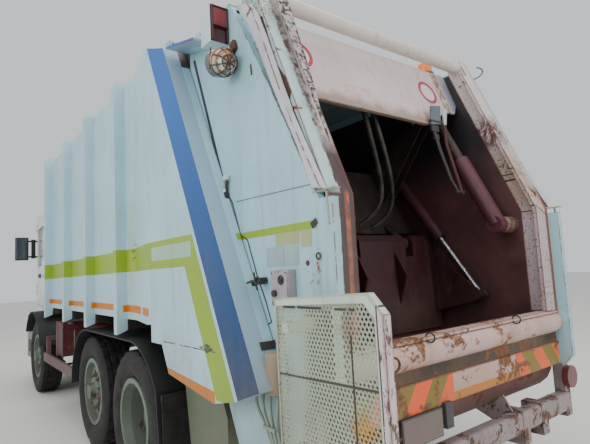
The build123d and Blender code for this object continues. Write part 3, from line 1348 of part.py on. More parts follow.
with BuildPart() as blade_rods:
    for side in (1, -1):
        eye = (side * blade_cylinder_x, blade_hinge_y + lug_y, blade_hinge_z + lug_z)
        with Locations(Plane(eye, x_dir=(1, 0, 0), z_dir=(0, -cylinder_dir[1], -cylinder_dir[2]))):
            Cylinder(blade_rod_radius, cylinder_length - blade_barrel_length + 100,
                     align=(Align.CENTER, Align.CENTER, Align.MIN))
        with Locations(Plane(eye, x_dir=(0, 1, 0), z_dir=(1, 0, 0))):
            Cylinder(38, 56)
blade_rods.part.label = "blade_rods"
export_step(blade_rods.part, "parts/blade_rods.step")

# Ejector plate: upright panel with its foot, on the container's floor
ejector_y = -1480.0
with BuildPart() as ejector_plate:
    with BuildSketch(Plane.YZ):
        with BuildLine():
            Polyline(
                (ejector_y, floor_top_z + seat_gap), (ejector_y + 500, floor_top_z + seat_gap),
                (ejector_y + 500, floor_top_z + 120), (ejector_y + 160, 1900), (ejector_y + 60, 3120),
                (ejector_y, 3120), close=True,
            )
        make_face()
    extrude(amount=wall_inner_x - moving_gap, both=True)
    with BuildSketch(Plane.YZ):
        with BuildLine():
            Polyline(
                (ejector_y - 20, floor_top_z + 20), (ejector_y + 480, floor_top_z + 20),
                (ejector_y + 480, floor_top_z + 105), (ejector_y + 140, 1890), (ejector_y + 40, 3100),
                (ejector_y - 20, 3100), close=True,
            )
        make_face()
    extrude(amount=wall_inner_x - moving_gap - 20, both=True, mode=Mode.SUBTRACT)
    with Locations((0, ejector_y + 60, (floor_top_z + 3110) / 2)):
        Box(16, 100, 3110 - floor_top_z - 10)
ejector_plate.part.label = "ejector_plate"
export_step(ejector_plate.part, "parts/ejector_plate.step")
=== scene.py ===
import math
from functools import reduce

import bmesh
import bpy
from mathutils import Matrix, Vector


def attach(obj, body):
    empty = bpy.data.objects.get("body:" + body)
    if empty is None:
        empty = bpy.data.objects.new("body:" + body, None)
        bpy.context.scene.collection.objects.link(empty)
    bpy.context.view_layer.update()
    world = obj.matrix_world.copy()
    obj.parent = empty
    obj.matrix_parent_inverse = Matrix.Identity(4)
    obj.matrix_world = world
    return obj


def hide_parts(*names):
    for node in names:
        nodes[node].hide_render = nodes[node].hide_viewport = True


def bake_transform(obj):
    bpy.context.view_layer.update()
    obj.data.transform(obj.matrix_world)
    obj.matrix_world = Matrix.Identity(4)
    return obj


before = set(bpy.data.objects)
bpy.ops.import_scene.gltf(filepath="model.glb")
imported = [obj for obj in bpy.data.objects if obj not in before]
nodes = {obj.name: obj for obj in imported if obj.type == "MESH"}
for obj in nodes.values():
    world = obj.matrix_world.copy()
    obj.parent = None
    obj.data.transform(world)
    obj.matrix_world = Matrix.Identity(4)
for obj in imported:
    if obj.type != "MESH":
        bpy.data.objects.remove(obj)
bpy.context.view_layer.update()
print("frame loaded")


# camera, floor and light

view = {"place": (2.44, 5.25, 1.582), "yaw": 37.797, "pitch": 5.787, "roll": -3.068, "lens": 28.81}
sky = {"colour": (0.93, 0.97, 1.0, 1), "strength": 0.85}
floorLook = {"size": 90, "colour": (0.72, 0.70, 0.66, 1), "rough": 0.9}
softBoxes = (  # name, place, aimed at, size, power, colour
    ("overheadSoftBox", (0.5, 2.0, 9.5), (0, 1, 0), (9, 12), 620, (1.0, 0.985, 0.96)),
    ("leftSoftBox", (9.0, 3.5, 4.5), (1, 1, 1.5), (7, 5), 330, (0.95, 0.98, 1.0)),
    ("rearSoftBox", (-1.5, 11.5, 4.0), (0, 3, 1.6), (7, 5), 260, (1.0, 0.97, 0.93)),
)


def addObject(name, data):
    thing = bpy.data.objects.new(name, data)
    bpy.context.scene.collection.objects.link(thing)
    return thing


def addCamera():
    yaw, pitch, roll = (math.radians(view[k]) for k in ("yaw", "pitch", "roll"))
    level = math.cos(yaw) * Vector((0, -1, 0)) + math.sin(yaw) * Vector((-1, 0, 0))
    side = math.cos(yaw) * Vector((-1, 0, 0)) - math.sin(yaw) * Vector((0, -1, 0))
    ahead = math.cos(pitch) * level + math.sin(pitch) * Vector((0, 0, 1))
    up = math.cos(pitch) * Vector((0, 0, 1)) - math.sin(pitch) * level
    right = math.cos(roll) * side + math.sin(roll) * up
    top = math.cos(roll) * up - math.sin(roll) * side
    lens = bpy.data.cameras.new("photoCamera")
    lens.sensor_width = 36
    lens.lens = view["lens"]
    lens.clip_end = 200
    holder = addObject("photoCamera", lens)
    turn = Matrix((right, top, -ahead)).transposed().to_4x4()
    turn.translation = Vector(view["place"])
    holder.matrix_world = turn
    bpy.context.scene.camera = holder


def addLights():
    world = bpy.data.worlds.new("studioSky")
    bpy.context.scene.world = world
    world.use_nodes = True
    backdrop = world.node_tree.nodes["Background"].inputs
    backdrop["Color"].default_value = sky["colour"]
    backdrop["Strength"].default_value = sky["strength"]
    for name, place, target, size, power, colour in softBoxes:
        lamp = bpy.data.lights.new(name, "AREA")
        lamp.shape = "RECTANGLE"
        lamp.size, lamp.size_y = size
        lamp.energy = power
        lamp.color = colour
        holder = addObject(name, lamp)
        holder.location = place
        holder.rotation_euler = (Vector(target) - Vector(place)).to_track_quat("-Z", "Y").to_euler()


def addFloor():
    bpy.ops.mesh.primitive_plane_add(size=floorLook["size"], location=(0, 0, 0))
    floor = bpy.context.object
    floor.name = "studioFloor"
    finish = bpy.data.materials.new("paleFloor")
    finish.use_nodes = True
    shader = finish.node_tree.nodes["Principled BSDF"].inputs
    shader["Base Color"].default_value = floorLook["colour"]
    shader["Roughness"].default_value = floorLook["rough"]
    floor.data.materials.append(finish)


addCamera()
addLights()
addFloor()
print("camera and light")


# node helpers

desk = {"tree": None}  # the node tree that the helpers add to


def tint(red, green, blue):  # screen colour 0-255 to the shader's own scale
    return tuple(((c / 255 + 0.055) / 1.055) ** 2.4 if c > 10 else c / 3294 for c in (red, green, blue)) + (1,)


def feed(socket, value):  # another socket, a number or a screen colour
    if isinstance(value, bpy.types.NodeSocket):
        desk["tree"].links.new(value, socket)
    else:
        socket.default_value = tint(*value) if isinstance(value, tuple) else value


def addNode(kind, feeds=(), **settings):
    node = desk["tree"].nodes.new("ShaderNode" + kind)
    for title, value in settings.items():
        setattr(node, title, value)
    for socket, value in feeds:
        feed(node.inputs[socket], value)
    return node


def sums(kind, *values):
    return addNode("Math", enumerate(values), operation=kind).outputs[0]


def above(value, limit):
    return sums("GREATER_THAN", value, limit)


def below(value, limit):
    return sums("LESS_THAN", value, limit)


def plus(first, second):
    return sums("ADD", first, second)


def minus(first, second):
    return sums("SUBTRACT", first, second)


def times(first, second):
    return sums("MULTIPLY", first, second)


def absolute(value):
    return sums("ABSOLUTE", value)


def spread(value, low, high, bottom=0.0, top=1.0):  # value low..high becomes bottom..top
    titles = ("Value", "From Min", "From Max", "To Min", "To Max")
    return addNode("MapRange", zip(titles, (value, low, high, bottom, top))).outputs[0]


def between(value, low, high):
    return times(above(value, low), below(value, high))


def every(*masks):
    return reduce(times, masks)


def anyOf(*masks):
    return reduce(lambda first, second: sums("MAXIMUM", first, second), masks)


def mix(amount, first, second):
    return addNode("Mix", ((0, amount), (6, first), (7, second)), data_type="RGBA").outputs[2]


def place(stretch=None):  # the piece's own coordinates, stretched
    coords = addNode("TexCoord").outputs["Object"]
    if stretch is None:
        return coords
    mapping = addNode("Mapping", (("Vector", coords),))
    mapping.inputs["Scale"].default_value = stretch
    return mapping.outputs[0]


def noise(size, detail, rough, stretch=None, warp=0.0):
    return addNode("TexNoise", (("Vector", place(stretch)), ("Scale", size), ("Detail", detail),
                                ("Roughness", rough), ("Distortion", warp))).outputs[0]


def axes():  # x, y and z of the point
    return addNode("SeparateXYZ", ((0, place()),)).outputs


def makeGroup(draw, inputs, *outputs):  # a node group named after the function that draws it
    tree = desk["tree"] = bpy.data.node_groups.new(draw.__name__, "ShaderNodeTree")
    for title, value in inputs.items():
        tree.interface.new_socket(name=title, in_out="INPUT", socket_type="NodeSocketFloat").default_value = value
    for title in outputs:
        kind = "NodeSocketColor" if title == "Color" else "NodeSocketFloat"
        tree.interface.new_socket(name=title, in_out="OUTPUT", socket_type=kind)
    given = tree.nodes.new("NodeGroupInput").outputs
    out = tree.nodes.new("NodeGroupOutput").inputs
    for title, value in zip(outputs, draw(*[given[name] for name in inputs])):
        feed(out[title], value)


def useGroup(name, **values):
    node = addNode("Group", node_tree=bpy.data.node_groups[name])
    for title, value in values.items():
        feed(node.inputs[title], value)
    return node.outputs


# shared effects; each gives the values of its group's outputs

def rustPatches(size, cover):
    both = plus(times(noise(size, 8, 0.66, warp=0.35), 0.78), times(noise(times(size, 9), 4, 0.6), 0.22))
    edge = minus(0.70, times(cover, 0.42))
    return spread(both, edge, plus(edge, 0.035)), noise(38, 5, 0.7)


def edgeWear(width, amount):
    bevel = addNode("Bevel", (("Radius", width),), samples=6).outputs[0]
    faces = addNode("NewGeometry").outputs["Normal"]
    dot = addNode("VectorMath", ((0, bevel), (1, faces)), operation="DOT_PRODUCT").outputs["Value"]
    low = minus(0.78, times(amount, 0.55))
    return [times(spread(dot, 0.995, 0.86), spread(noise(14, 6, 0.7), low, plus(low, 0.06)))]


def roadGrime(low, high, amount):
    rough = plus(times(noise(2.6, 6, 0.62), 0.8), times(noise(45, 3, 0.6), 0.2))
    lifted = plus(spread(axes()[2], high, low), spread(rough, 0.35, 0.68, -0.45, 0.45))
    return [times(spread(lifted, 0.1, 1.1), amount)]


def rainStreaks(amount):
    lines = spread(noise(1, 4, 0.6, (17, 17, 0.9)), 0.5, 0.74)
    return [every(lines, spread(noise(1.3, 3, 0.5), 0.38, 0.62), amount)]


def sheetRipple(dents, grain):
    return [plus(times(noise(2.2, 2, 0.45), dents), times(noise(160, 3, 0.6), grain))]


def dulled(mask, fade):
    return times(mask, spread(fade, 0, 1, 1, 0.9))


def containerMarks(fade):  # green, blue and orange stripes of the container's sides, and painted shade on the cheeks' rear faces
    x, y, z = axes()
    wide = absolute(x)
    slant = plus(y, times(z, 0.485))
    outside = above(wide, 1.155)
    flank = above(wide, 1.2482)
    body = every(outside, below(slant, 3.62))
    level = every(body, between(z, 1.636, 1.82))
    down = every(outside, between(slant, 3.42, 3.62), between(z, 0.93, 1.82))
    narrow = every(between(wide, 1.07, 1.12), between(z, 1.762, 1.8), between(y, 2.97, 3.66))
    green = anyOf(level, down, narrow)
    blue = every(flank, above(slant, 3.655), above(y, 1.9))
    tapeWall = every(outside, between(z, 1.315, 1.372),
                     anyOf(every(below(wide, 1.2), below(y, 1.8)), between(y, 1.8, 2.03)))
    hem = plus(z, times(y, 0.08))
    tapeSkirt = every(outside, below(hem, 1.206), below(z, 1.1), between(y, 2.2, 2.955))
    tape = anyOf(tapeWall, tapeSkirt)
    bare = every(outside, between(y, 2.1, 2.72), between(z, 1.692, 1.782))
    deepBlue = mix(spread(z, 1, 2.7), (0, 44, 82), (4, 94, 174))
    # painted shade: the cheeks' rear faces, turned away from the light, are painted a darker lavender grey
    shadedRearFace = every(above(slant, 3.8), below(wide, 1.2482), above(wide, 1.149), between(y, 1.9, 3.45))
    colour = mix(blue, (138, 168, 36), deepBlue)
    colour = mix(shadedRearFace, colour, (150, 174, 190))
    colour = mix(tape, colour, (196, 112, 4))
    worn = noise(22, 6, 0.7)
    kept = spread(worn, fade, plus(fade, 0.08))
    pale = times(bare, 0.55)
    mask = times(anyOf(green, blue, tape), kept)
    mask = times(mask, minus(1, pale))
    mask = anyOf(mask, shadedRearFace)
    drips = noise(1.6, 5, 0.7, (1, 14, 1.2))
    drip = every(above(x, 1.1), spread(y, 1.36, 1.42), spread(y, 1.56, 1.5),
                 spread(z, 1.15, 1.5), spread(z, 2.3, 2.1), spread(drips, 0.42, 0.6))
    smears = spread(noise(1, 5, 0.7, (1, 5, 30)), 0.56, 0.62)
    smear = every(above(x, 1.1), between(y, 1.46, 1.66), between(z, 1.69, 1.86), smears)
    colour = mix(times(drip, minus(1, times(mask, 0.7))), colour, (196, 178, 110))
    torn = noise(1.2, 6, 0.7, (1, 9, 40))
    drop = plus(z, times(torn, 0.03))
    scratch = every(flank, above(x, 1.1), between(drop, 1.186, 1.1925), between(y, 2.28, 2.98), spread(torn, 0.4, 0.5))
    blot = plus(times(absolute(minus(y, 2.88)), 0.35), plus(absolute(minus(z, 1.184)), times(worn, 0.07)))
    blots = every(flank, above(x, 1.1), spread(blot, 0.068, 0.056), spread(torn, 0.44, 0.5))
    smear = anyOf(smear, scratch, blots)
    colour = mix(smear, colour, (48, 50, 42))
    mask = anyOf(mask, times(drip, 0.6), smear)
    inside = every(below(wide, 1.149), below(z, 3.12), between(y, -1.73, 2.45))
    colour = mix(inside, colour, (56, 48, 46))
    return colour, anyOf(mask, inside)


def boardMarks(fade):  # slanted warning tape at both ends of the rear board, an orange line between, and painted shadow in the groove above the board
    x, y, z = axes()
    board = every(between(z, 0.846, 0.989), above(y, 3.655))
    wide = absolute(x)
    lean = times(minus(0.99, z), 0.75)
    step = sums("FRACT", sums("DIVIDE", minus(minus(wide, lean), 0.25), 0.27))
    olive = below(step, 0.5)
    ends = anyOf(above(x, 0.213), between(x, -1.022, -0.445))
    line = every(between(x, -0.445, 0.213), below(z, 0.892))
    colour = mix(olive, (250, 84, 22), (116, 108, 0))
    colour = mix(line, colour, (196, 118, 0))
    # painted shadow: the recessed groove between the sill and the board is near black at its foot and dark brown above
    grooveShadow = between(z, 0.9905, 1.056)
    colour = mix(grooveShadow, colour, mix(below(z, 1.006), (24, 18, 16), (52, 38, 34)))
    worn = noise(16, 6, 0.7)
    kept = spread(worn, fade, plus(fade, 0.05))
    return colour, anyOf(grooveShadow, every(board, anyOf(ends, line), kept))


def lampMarks():  # box lamp with a red glass, work lamp, amber beacon, red round lamps
    x, y, z = axes()
    upper = every(above(x, 1), above(z, 2.89))
    rear = every(upper, above(y, 2.9585))
    red = every(rear, above(y, 2.962), between(z, 3.012, 3.108))
    work = every(above(x, 1), above(y, 3.03), between(z, 2.6, 2.85))
    glow = spread(noise(30, 2, 0.5), 0.4, 0.6)
    low = every(below(z, 0.9), above(y, 3.655))
    amber = every(below(x, 0), above(z, 3.18))
    colour = mix(upper, (92, 10, 16), (190, 206, 210))
    colour = mix(rear, colour, (70, 22, 30))
    colour = mix(red, colour, (122, 20, 32))
    lens = mix(above(z, 2.738), (206, 198, 176), (214, 136, 74))
    lens = mix(glow, lens, (120, 104, 88))
    colour = mix(work, colour, lens)
    colour = mix(amber, colour, (246, 124, 16))
    return colour, anyOf(upper, work, low, amber)


def columnMarks(fade):  # pale blue outer part, pinkish rusty flange, dark foot with an orange streak
    x, y, z = axes()
    broken = spread(noise(34, 6, 0.72, (1, 1, 0.45)), 0.42, 0.6)
    fine = spread(noise(60, 5, 0.7), 0.4, 0.62)
    left = above(x, 0)
    right = minus(1, left)
    wide = absolute(x)
    outer = every(left, above(wide, 0.962))
    colour = mix(outer, (208, 194, 192), (182, 206, 208))
    deep = every(left, below(wide, 0.965), spread(z, 2.27, 2.12))
    colour = mix(deep, colour, mix(fine, (50, 20, 24), (74, 30, 33)))
    foot = every(left, spread(z, 1.945, 1.915))
    colour = mix(foot, colour, mix(fine, (42, 22, 20), (66, 32, 29)))
    streak = every(foot, spread(wide, 0.912, 0.92), spread(wide, 0.948, 0.938))
    fire = mix(broken, (122, 52, 36), (200, 92, 44))
    colour = mix(streak, colour, fire)
    seam = every(left, between(wide, 0.925, 0.975), above(z, 1.93), broken)
    colour = mix(seam, colour, (72, 36, 36))
    mould = every(left, spread(z, 2.8, 3), fine, spread(wide, 0.9, 0.96))
    colour = mix(mould, colour, (112, 112, 74))
    band = every(right, spread(z, 2.4, 2.46), spread(z, 2.7, 2.62), spread(broken, 0, 0.5))
    colour = mix(band, colour, (96, 44, 44))
    specks = every(right, spread(fine, 0.72, 0.95), spread(z, 2.95, 2.6, 0.35, 1))
    colour = mix(every(right, spread(z, 2.5, 2.3)), colour, (176, 156, 140))
    colour = mix(every(right, spread(z, 2, 1.85)), colour, (190, 172, 176))
    colour = mix(specks, colour, (84, 52, 44))
    across = plus(z, times(wide, 0.45))
    weld = every(right, anyOf(between(across, 2.625, 2.634), between(across, 2.335, 2.344)))
    crack = plus(times(wide, 2.6), minus(z, 4.62))
    weld = anyOf(weld, every(right, between(crack, 0, 0.014), between(z, 1.88, 2.2)))
    colour = mix(weld, colour, (58, 40, 36))
    strip = every(right, above(wide, 1.008))
    rustyStrip = mix(spread(z, 2, 2.15), mix(broken, (150, 84, 48), (104, 56, 40)), (178, 178, 172))
    colour = mix(strip, colour, rustyStrip)
    return colour, spread(fade, 0, 1, 1, 0.9)


def screenMarks(fade):  # rust blooms, creases and a plain seam of the perforated sheet
    x, y, z = axes()
    cloud = noise(14, 6, 0.7)
    seam = every(between(y, 3.993, 4.003), between(z, 0.6, 1.34))
    crease = minus(z, times(minus(y, 3.524), 0.024))
    fold = between(crease, 1.142, 1.151)
    far = plus(absolute(minus(y, 3.985)), times(absolute(minus(z, 1.36)), 0.8))
    bloom = spread(plus(far, times(cloud, 0.14)), 0.15, 0.09)
    low = plus(absolute(minus(y, 4.04)), times(absolute(minus(z, 1.02)), 1.2))
    lowBloom = spread(plus(low, times(cloud, 0.14)), 0.18, 0.12)
    colour = mix(lowBloom, (150, 100, 66), (196, 148, 60))
    colour = mix(anyOf(seam, fold), colour, (60, 50, 44))
    strength = anyOf(seam, fold, times(bloom, 0.6), times(lowBloom, 0.85))
    return colour, dulled(strength, fade)


def flangeMarks(fade):  # pink rear edge of the screen behind a dark line
    x, y, z = axes()
    cloud = noise(34, 6, 0.75, (1, 1, 0.4))
    pink = mix(spread(cloud, 0.54, 0.6), (206, 186, 190), (84, 60, 54))
    line = every(between(y, 4.13, 4.137), above(cloud, 0.4))
    edge = every(above(y, 4.133), below(z, 1.42))
    return mix(line, pink, (60, 42, 36)), dulled(anyOf(edge, line), fade)


def ramMarks(fade):  # pale rusty bosses at the cylinders' lower ends
    x, y, z = axes()
    cloud = noise(30, 5, 0.7)
    boss = every(above(absolute(x), 0.8), above(y, 3.4), below(z, 1.92))
    return mix(spread(cloud, 0.4, 0.6), (150, 122, 110), (96, 74, 64)), dulled(boss, fade)


def insideMarks(fade):  # dark maroon inner faces of the tailgate, cloudy and darker towards the top, pale outside with the container's stripes, and painted shade on the flank behind the screen
    x, y, z = axes()
    stripes = useGroup("containerMarks", Fade=fade)
    inner = every(below(absolute(x), 1.04), below(z, 3.12))
    cloud = spread(noise(4, 6, 0.65), 0.35, 0.68)
    innerTone = mix(cloud, (98, 62, 62), (70, 50, 49))
    # the inner faces turn a darker grey towards the top
    innerTone = mix(spread(z, 2.1, 2.5), innerTone, (42, 38, 42))
    # painted shade: the flank behind the perforated screen lies in the screen's shadow and is painted a darker
    # grey-green, so the holes read dark
    soil = spread(noise(9, 6, 0.7), 0.4, 0.62)
    behind = every(above(x, 1.04), spread(y, 3.5, 3.56), spread(z, 1.44, 1.4))
    colour = mix(behind, stripes["Color"], mix(soil, (92, 102, 92), (62, 66, 58)))
    colour = mix(inner, colour, innerTone)
    return colour, anyOf(inner, behind, stripes["Mask"])


def headerMarks(fade):  # faded smear, brown lower edge and a rusty right end of the header
    x, y, z = axes()
    cloud = noise(9, 6, 0.68)
    smear = every(between(x, 0.1, 0.36), between(z, 2.68, 2.77), spread(cloud, 0.45, 0.6))
    end = every(between(x, -0.835, -0.755), spread(noise(24, 5, 0.7), 0.4, 0.52))
    gusset = below(x, -0.85)
    foot = every(above(x, -0.83), spread(minus(z, times(cloud, 0.2)), 2.62, 2.53))
    colour = mix(end, (206, 156, 150), (130, 88, 52))
    colour = mix(foot, colour, (132, 104, 80))
    colour = mix(gusset, colour, (158, 166, 178))
    strength = anyOf(times(smear, 0.7), times(end, 0.85), gusset, times(foot, 0.75))
    return colour, dulled(strength, fade)


makeGroup(rustPatches, {"Size": 3.0, "Cover": 0.3}, "Mask", "Tone")
makeGroup(edgeWear, {"Width": 0.012, "Amount": 0.5}, "Mask")
makeGroup(roadGrime, {"Low": 0.4, "High": 1.4, "Amount": 0.6}, "Mask")
makeGroup(rainStreaks, {"Amount": 0.4}, "Mask")
makeGroup(sheetRipple, {"Dents": 1.0, "Grain": 0.2}, "Height")
for draw in (containerMarks, boardMarks, columnMarks, screenMarks, flangeMarks, ramMarks, insideMarks, headerMarks):
    makeGroup(draw, {"Fade": 0.25}, "Color", "Mask")
makeGroup(lampMarks, {}, "Color", "Mask")
print("shared effects")


# finishes

finishes = {}
plainPaint = {
    "rough": 0.42, "rustSize": 3.0, "edgeWidth": 0.010, "streaks": 0.25, "grime": 0.35, "low": 0.7, "high": 1.5,
    "soil": (116, 104, 92), "rusts": ((74, 42, 34), (150, 88, 52)), "marks": None, "dents": 0.5, "bump": 0.12,
    "metal": 0.0, "coat": 0.0,
}
dust = {"streak": (108, 92, 78), "rubber": (120, 112, 102), "glass": (150, 146, 138), "chrome": (96, 92, 88)}


def startFinish(name):
    finish = finishes[name] = bpy.data.materials.new(name)
    finish.use_nodes = True
    desk["tree"] = finish.node_tree
    return finish.node_tree.nodes["Principled BSDF"].inputs


def addBump(shader, height, strength, distance):
    bump = addNode("Bump", (("Strength", strength), ("Distance", distance), ("Height", height)))
    feed(shader["Normal"], bump.outputs[0])


def paint(name, colour, other, rust, edge, **changes):
    shader = startFinish(name)
    given = {**plainPaint, **changes}
    surface = mix(spread(noise(1.7, 5, 0.6), 0.35, 0.65), colour, other)
    if given["marks"]:
        marks = useGroup(given["marks"])
        surface = mix(marks["Mask"], surface, marks["Color"])
    surface = mix(useGroup("rainStreaks", Amount=given["streaks"])["Mask"], surface, dust["streak"])
    grime = useGroup("roadGrime", Low=given["low"], High=given["high"], Amount=given["grime"])["Mask"]
    surface = mix(grime, surface, given["soil"])
    patches = useGroup("rustPatches", Size=given["rustSize"], Cover=rust)
    rusty = anyOf(patches["Mask"], useGroup("edgeWear", Width=given["edgeWidth"], Amount=edge)["Mask"])
    surface = mix(rusty, surface, mix(spread(patches["Tone"], 0.35, 0.68), *given["rusts"]))
    feed(shader["Base Color"], surface)
    feed(shader["Roughness"], spread(anyOf(rusty, grime), 0, 1, given["rough"], 0.9))
    shader["Metallic"].default_value = given["metal"]
    shader["Coat Weight"].default_value = given["coat"]
    ripple = useGroup("sheetRipple", Dents=given["dents"], Grain=0.04)["Height"]
    addBump(shader, minus(ripple, times(rusty, 0.02)), given["bump"], 0.03)


def rubber(name, colour, dusty, rough, grain):
    shader = startFinish(name)
    fine = noise(grain, 4, 0.6)
    cloud = spread(noise(9, 6, 0.65), 0.38, 0.66)
    feed(shader["Base Color"], mix(times(cloud, dusty), colour, dust["rubber"]))
    feed(shader["Roughness"], spread(fine, 0.3, 0.7, rough - 0.08, rough + 0.1))
    addBump(shader, fine, 0.25, 0.003)


def glass(name, colour, opacity):
    shader = startFinish(name)
    film = spread(noise(6, 5, 0.6), 0.35, 0.7, 0, 0.35)
    feed(shader["Base Color"], mix(film, colour, dust["glass"]))
    feed(shader["Roughness"], spread(film, 0, 0.35, 0.04, 0.2))
    feed(shader["Alpha"], spread(film, 0, 0.35, opacity, opacity + 0.2))
    shader["IOR"].default_value = 1.5


def chrome(name, colour, rough):
    shader = startFinish(name)
    scratches = spread(noise(1, 4, 0.6, (60, 60, 4)), 0.35, 0.75)
    feed(shader["Base Color"], mix(scratches, colour, dust["chrome"]))
    feed(shader["Roughness"], spread(scratches, 0, 1, rough, rough + 0.25))
    shader["Metallic"].default_value = 1.0


def cloth(name, colour, other):
    shader = startFinish(name)
    warp = addNode("TexWave", (("Scale", 190.0), ("Distortion", 0.6), ("Vector", place()))).outputs[1]
    feed(shader["Base Color"], mix(times(warp, noise(7, 5, 0.6)), colour, other))
    shader["Roughness"].default_value = 0.95
    shader["Sheen Weight"].default_value = 0.3
    addBump(shader, warp, 0.3, 0.002)


paint("containerPaint", (176, 208, 218), (164, 197, 207), 0.05, 0.2, marks="containerMarks", streaks=0.3,
      grime=0.45, low=0.75, high=1.35, rustSize=2.4)
paint("gateSidePaint", (164, 203, 214), (152, 192, 202), 0.12, 0.55, marks="insideMarks", edgeWidth=0.014,
      streaks=0.35, grime=0.4)
paint("columnPaint", (176, 208, 218), (164, 197, 207), 0.26, 0.8, marks="columnMarks", edgeWidth=0.018,
      rustSize=6.5, streaks=0.5, grime=0.25, low=1.2, high=2, rusts=((72, 38, 32), (140, 74, 48)))
paint("headerPaint", (212, 200, 200), (204, 188, 186), 0.08, 0.4, marks="headerMarks", rustSize=6, streaks=0.4,
      grime=0)
paint("tubePaint", (214, 206, 196), (202, 190, 180), 0.1, 0.2, rustSize=8, streaks=0.5, grime=0,
      rusts=((74, 42, 34), (160, 130, 80)))
paint("paleLabel", (138, 162, 168), (168, 188, 190), 0, 0.1, streaks=0.3, grime=0.2, rough=0.35, dents=0)
paint("oliveLabel", (166, 170, 138), (160, 166, 104), 0, 0.1, streaks=0.4, grime=0.3, rough=0.4, dents=0)
paint("signWhite", (222, 222, 218), (206, 204, 200), 0, 0, streaks=0.3, grime=0, rough=0.35, dents=0)
paint("signRed", (184, 48, 76), (170, 60, 80), 0, 0.1, streaks=0.2, grime=0, rough=0.35, dents=0)
paint("plateFace", (118, 102, 98), (100, 88, 84), 0.05, 0.2, streaks=0.3, grime=0.3, rough=0.4, dents=0.1)
paint("rustyIron", (70, 46, 40), (94, 62, 48), 0.7, 0.2, rough=0.85, streaks=0, grime=0, bump=0.4,
      rusts=((56, 38, 34), (122, 78, 54)))
paint("darkIron", (40, 40, 42), (60, 52, 48), 0.3, 0.3, rough=0.55, streaks=0, grime=0.1,
      rusts=((48, 38, 34), (92, 66, 52)))
paint("beigeBlock", (164, 146, 122), (148, 128, 106), 0.15, 0.3, rough=0.8, streaks=0.6, grime=0.2)
paint("pipeGreen", (150, 166, 152), (126, 142, 130), 0.1, 0.2, rough=0.5, streaks=0.3, grime=0.5, low=0.5,
      high=1.1)
paint("sillPaint", (198, 172, 172), (190, 156, 136), 0.42, 0.9, marks="boardMarks", edgeWidth=0.014, rustSize=5,
      streaks=0.4, grime=0.4, low=0.9, high=1.3, soil=(150, 116, 84), rusts=((84, 54, 44), (150, 102, 68)))
paint("trayPaint", (98, 108, 86), (84, 94, 74), 0.1, 0.4, streaks=0.4, grime=0.4, low=0.3, high=0.9)
paint("sheetPaint", (180, 192, 168), (164, 174, 152), 0.1, 0, marks="screenMarks", rustSize=6, streaks=0.35,
      grime=0.4, low=0.5, high=1.1, soil=(160, 148, 126))
paint("lipPaint", (200, 198, 204), (188, 182, 190), 0.24, 0.6, rustSize=7, streaks=0.5, grime=0,
      rusts=((70, 46, 42), (128, 96, 80)))
# painted shade: a darkened copy of the pale bracket paint for the hanging arm's head, which sits in shade
paint("bracketPaint", (104, 116, 128), (84, 92, 102), 0.3, 0.6, rustSize=9, streaks=0.3, grime=0,
      rusts=((48, 38, 36), (96, 70, 56)))
# rust for the gussets, and dark paint for the strip along the gap beside the lip, which is painted shadow
paint("gapRust", (50, 38, 36), (70, 48, 42), 0.4, 0.2, rough=0.9, streaks=0, grime=0, bump=0.4,
      rusts=((40, 30, 28), (92, 60, 46)))
paint("cornerRust", (200, 192, 198), (160, 144, 144), 0.5, 0.8, rustSize=34, rough=0.8, streaks=0.3, grime=0,
      rusts=((48, 38, 36), (96, 78, 70)))
paint("hoodPaint", (158, 152, 158), (140, 134, 140), 0.12, 0.6, rustSize=8, streaks=0.3, grime=0.1)
# black paint for dark strips set where shadow falls: the shadow gaps down the flank and the screen's slots
paint("seamBlack", (44, 44, 48), (70, 66, 66), 0.1, 0, rough=0.8, streaks=0, grime=0.1)
paint("darkMaroon", (78, 32, 36), (56, 28, 30), 0.3, 0.4, rough=0.5, streaks=0.1, grime=0.1)
paint("screenPaint", (196, 212, 194), (184, 194, 180), 0.2, 0.9, marks="flangeMarks", edgeWidth=0.011,
      rustSize=5, streaks=0.4, grime=0.55, low=0.5, high=1.2, soil=(150, 136, 112),
      rusts=((70, 44, 34), (124, 80, 56)))
paint("beamPaint", (176, 162, 162), (148, 134, 134), 0.42, 0.8, edgeWidth=0.014, rustSize=6.5, streaks=0.3,
      grime=0.5, low=0.4, high=0.9, soil=(96, 82, 74), rusts=((62, 46, 42), (122, 88, 68)))
paint("bowlPaint", (96, 44, 46), (72, 38, 38), 0.35, 0.4, rough=0.6, streaks=0.3, grime=0.4, low=0.6, high=1,
      rusts=((58, 32, 28), (110, 62, 44)))
paint("carriagePaint", (58, 44, 43), (44, 37, 36), 0.3, 0.4, rough=0.6, streaks=0.2, grime=0,
      rusts=((50, 36, 30), (104, 78, 56)))
paint("packerPaint", (60, 18, 25), (42, 15, 19), 0.22, 0.4, rough=0.55, grime=0.25, low=1, high=1.7,
      rusts=((54, 32, 28), (120, 70, 50)))
paint("ramPaint", (86, 42, 50), (66, 34, 40), 0.2, 0.4, marks="ramMarks", rough=0.5, streaks=0.2, grime=0.1)
paint("cabPaint", (214, 218, 216), (206, 212, 210), 0, 0.1, rough=0.3, coat=0.3, edgeWidth=0.006, streaks=0.2,
      grime=0.4, low=1, high=1.6, dents=0.15, bump=0.06)
paint("framePaint", (58, 52, 50), (44, 38, 36), 0.3, 0.4, rough=0.65, streaks=0, grime=0.55, low=0.2, high=1.3)
paint("castMetal", (84, 80, 76), (60, 56, 52), 0.28, 0.2, rough=0.7, streaks=0, grime=0.5, low=0.4, high=1.4,
      bump=0.3)
paint("tankPaint", (88, 20, 30), (64, 18, 24), 0.2, 0.3, rough=0.5, streaks=0.1, grime=0.55, low=0.4, high=1.1)
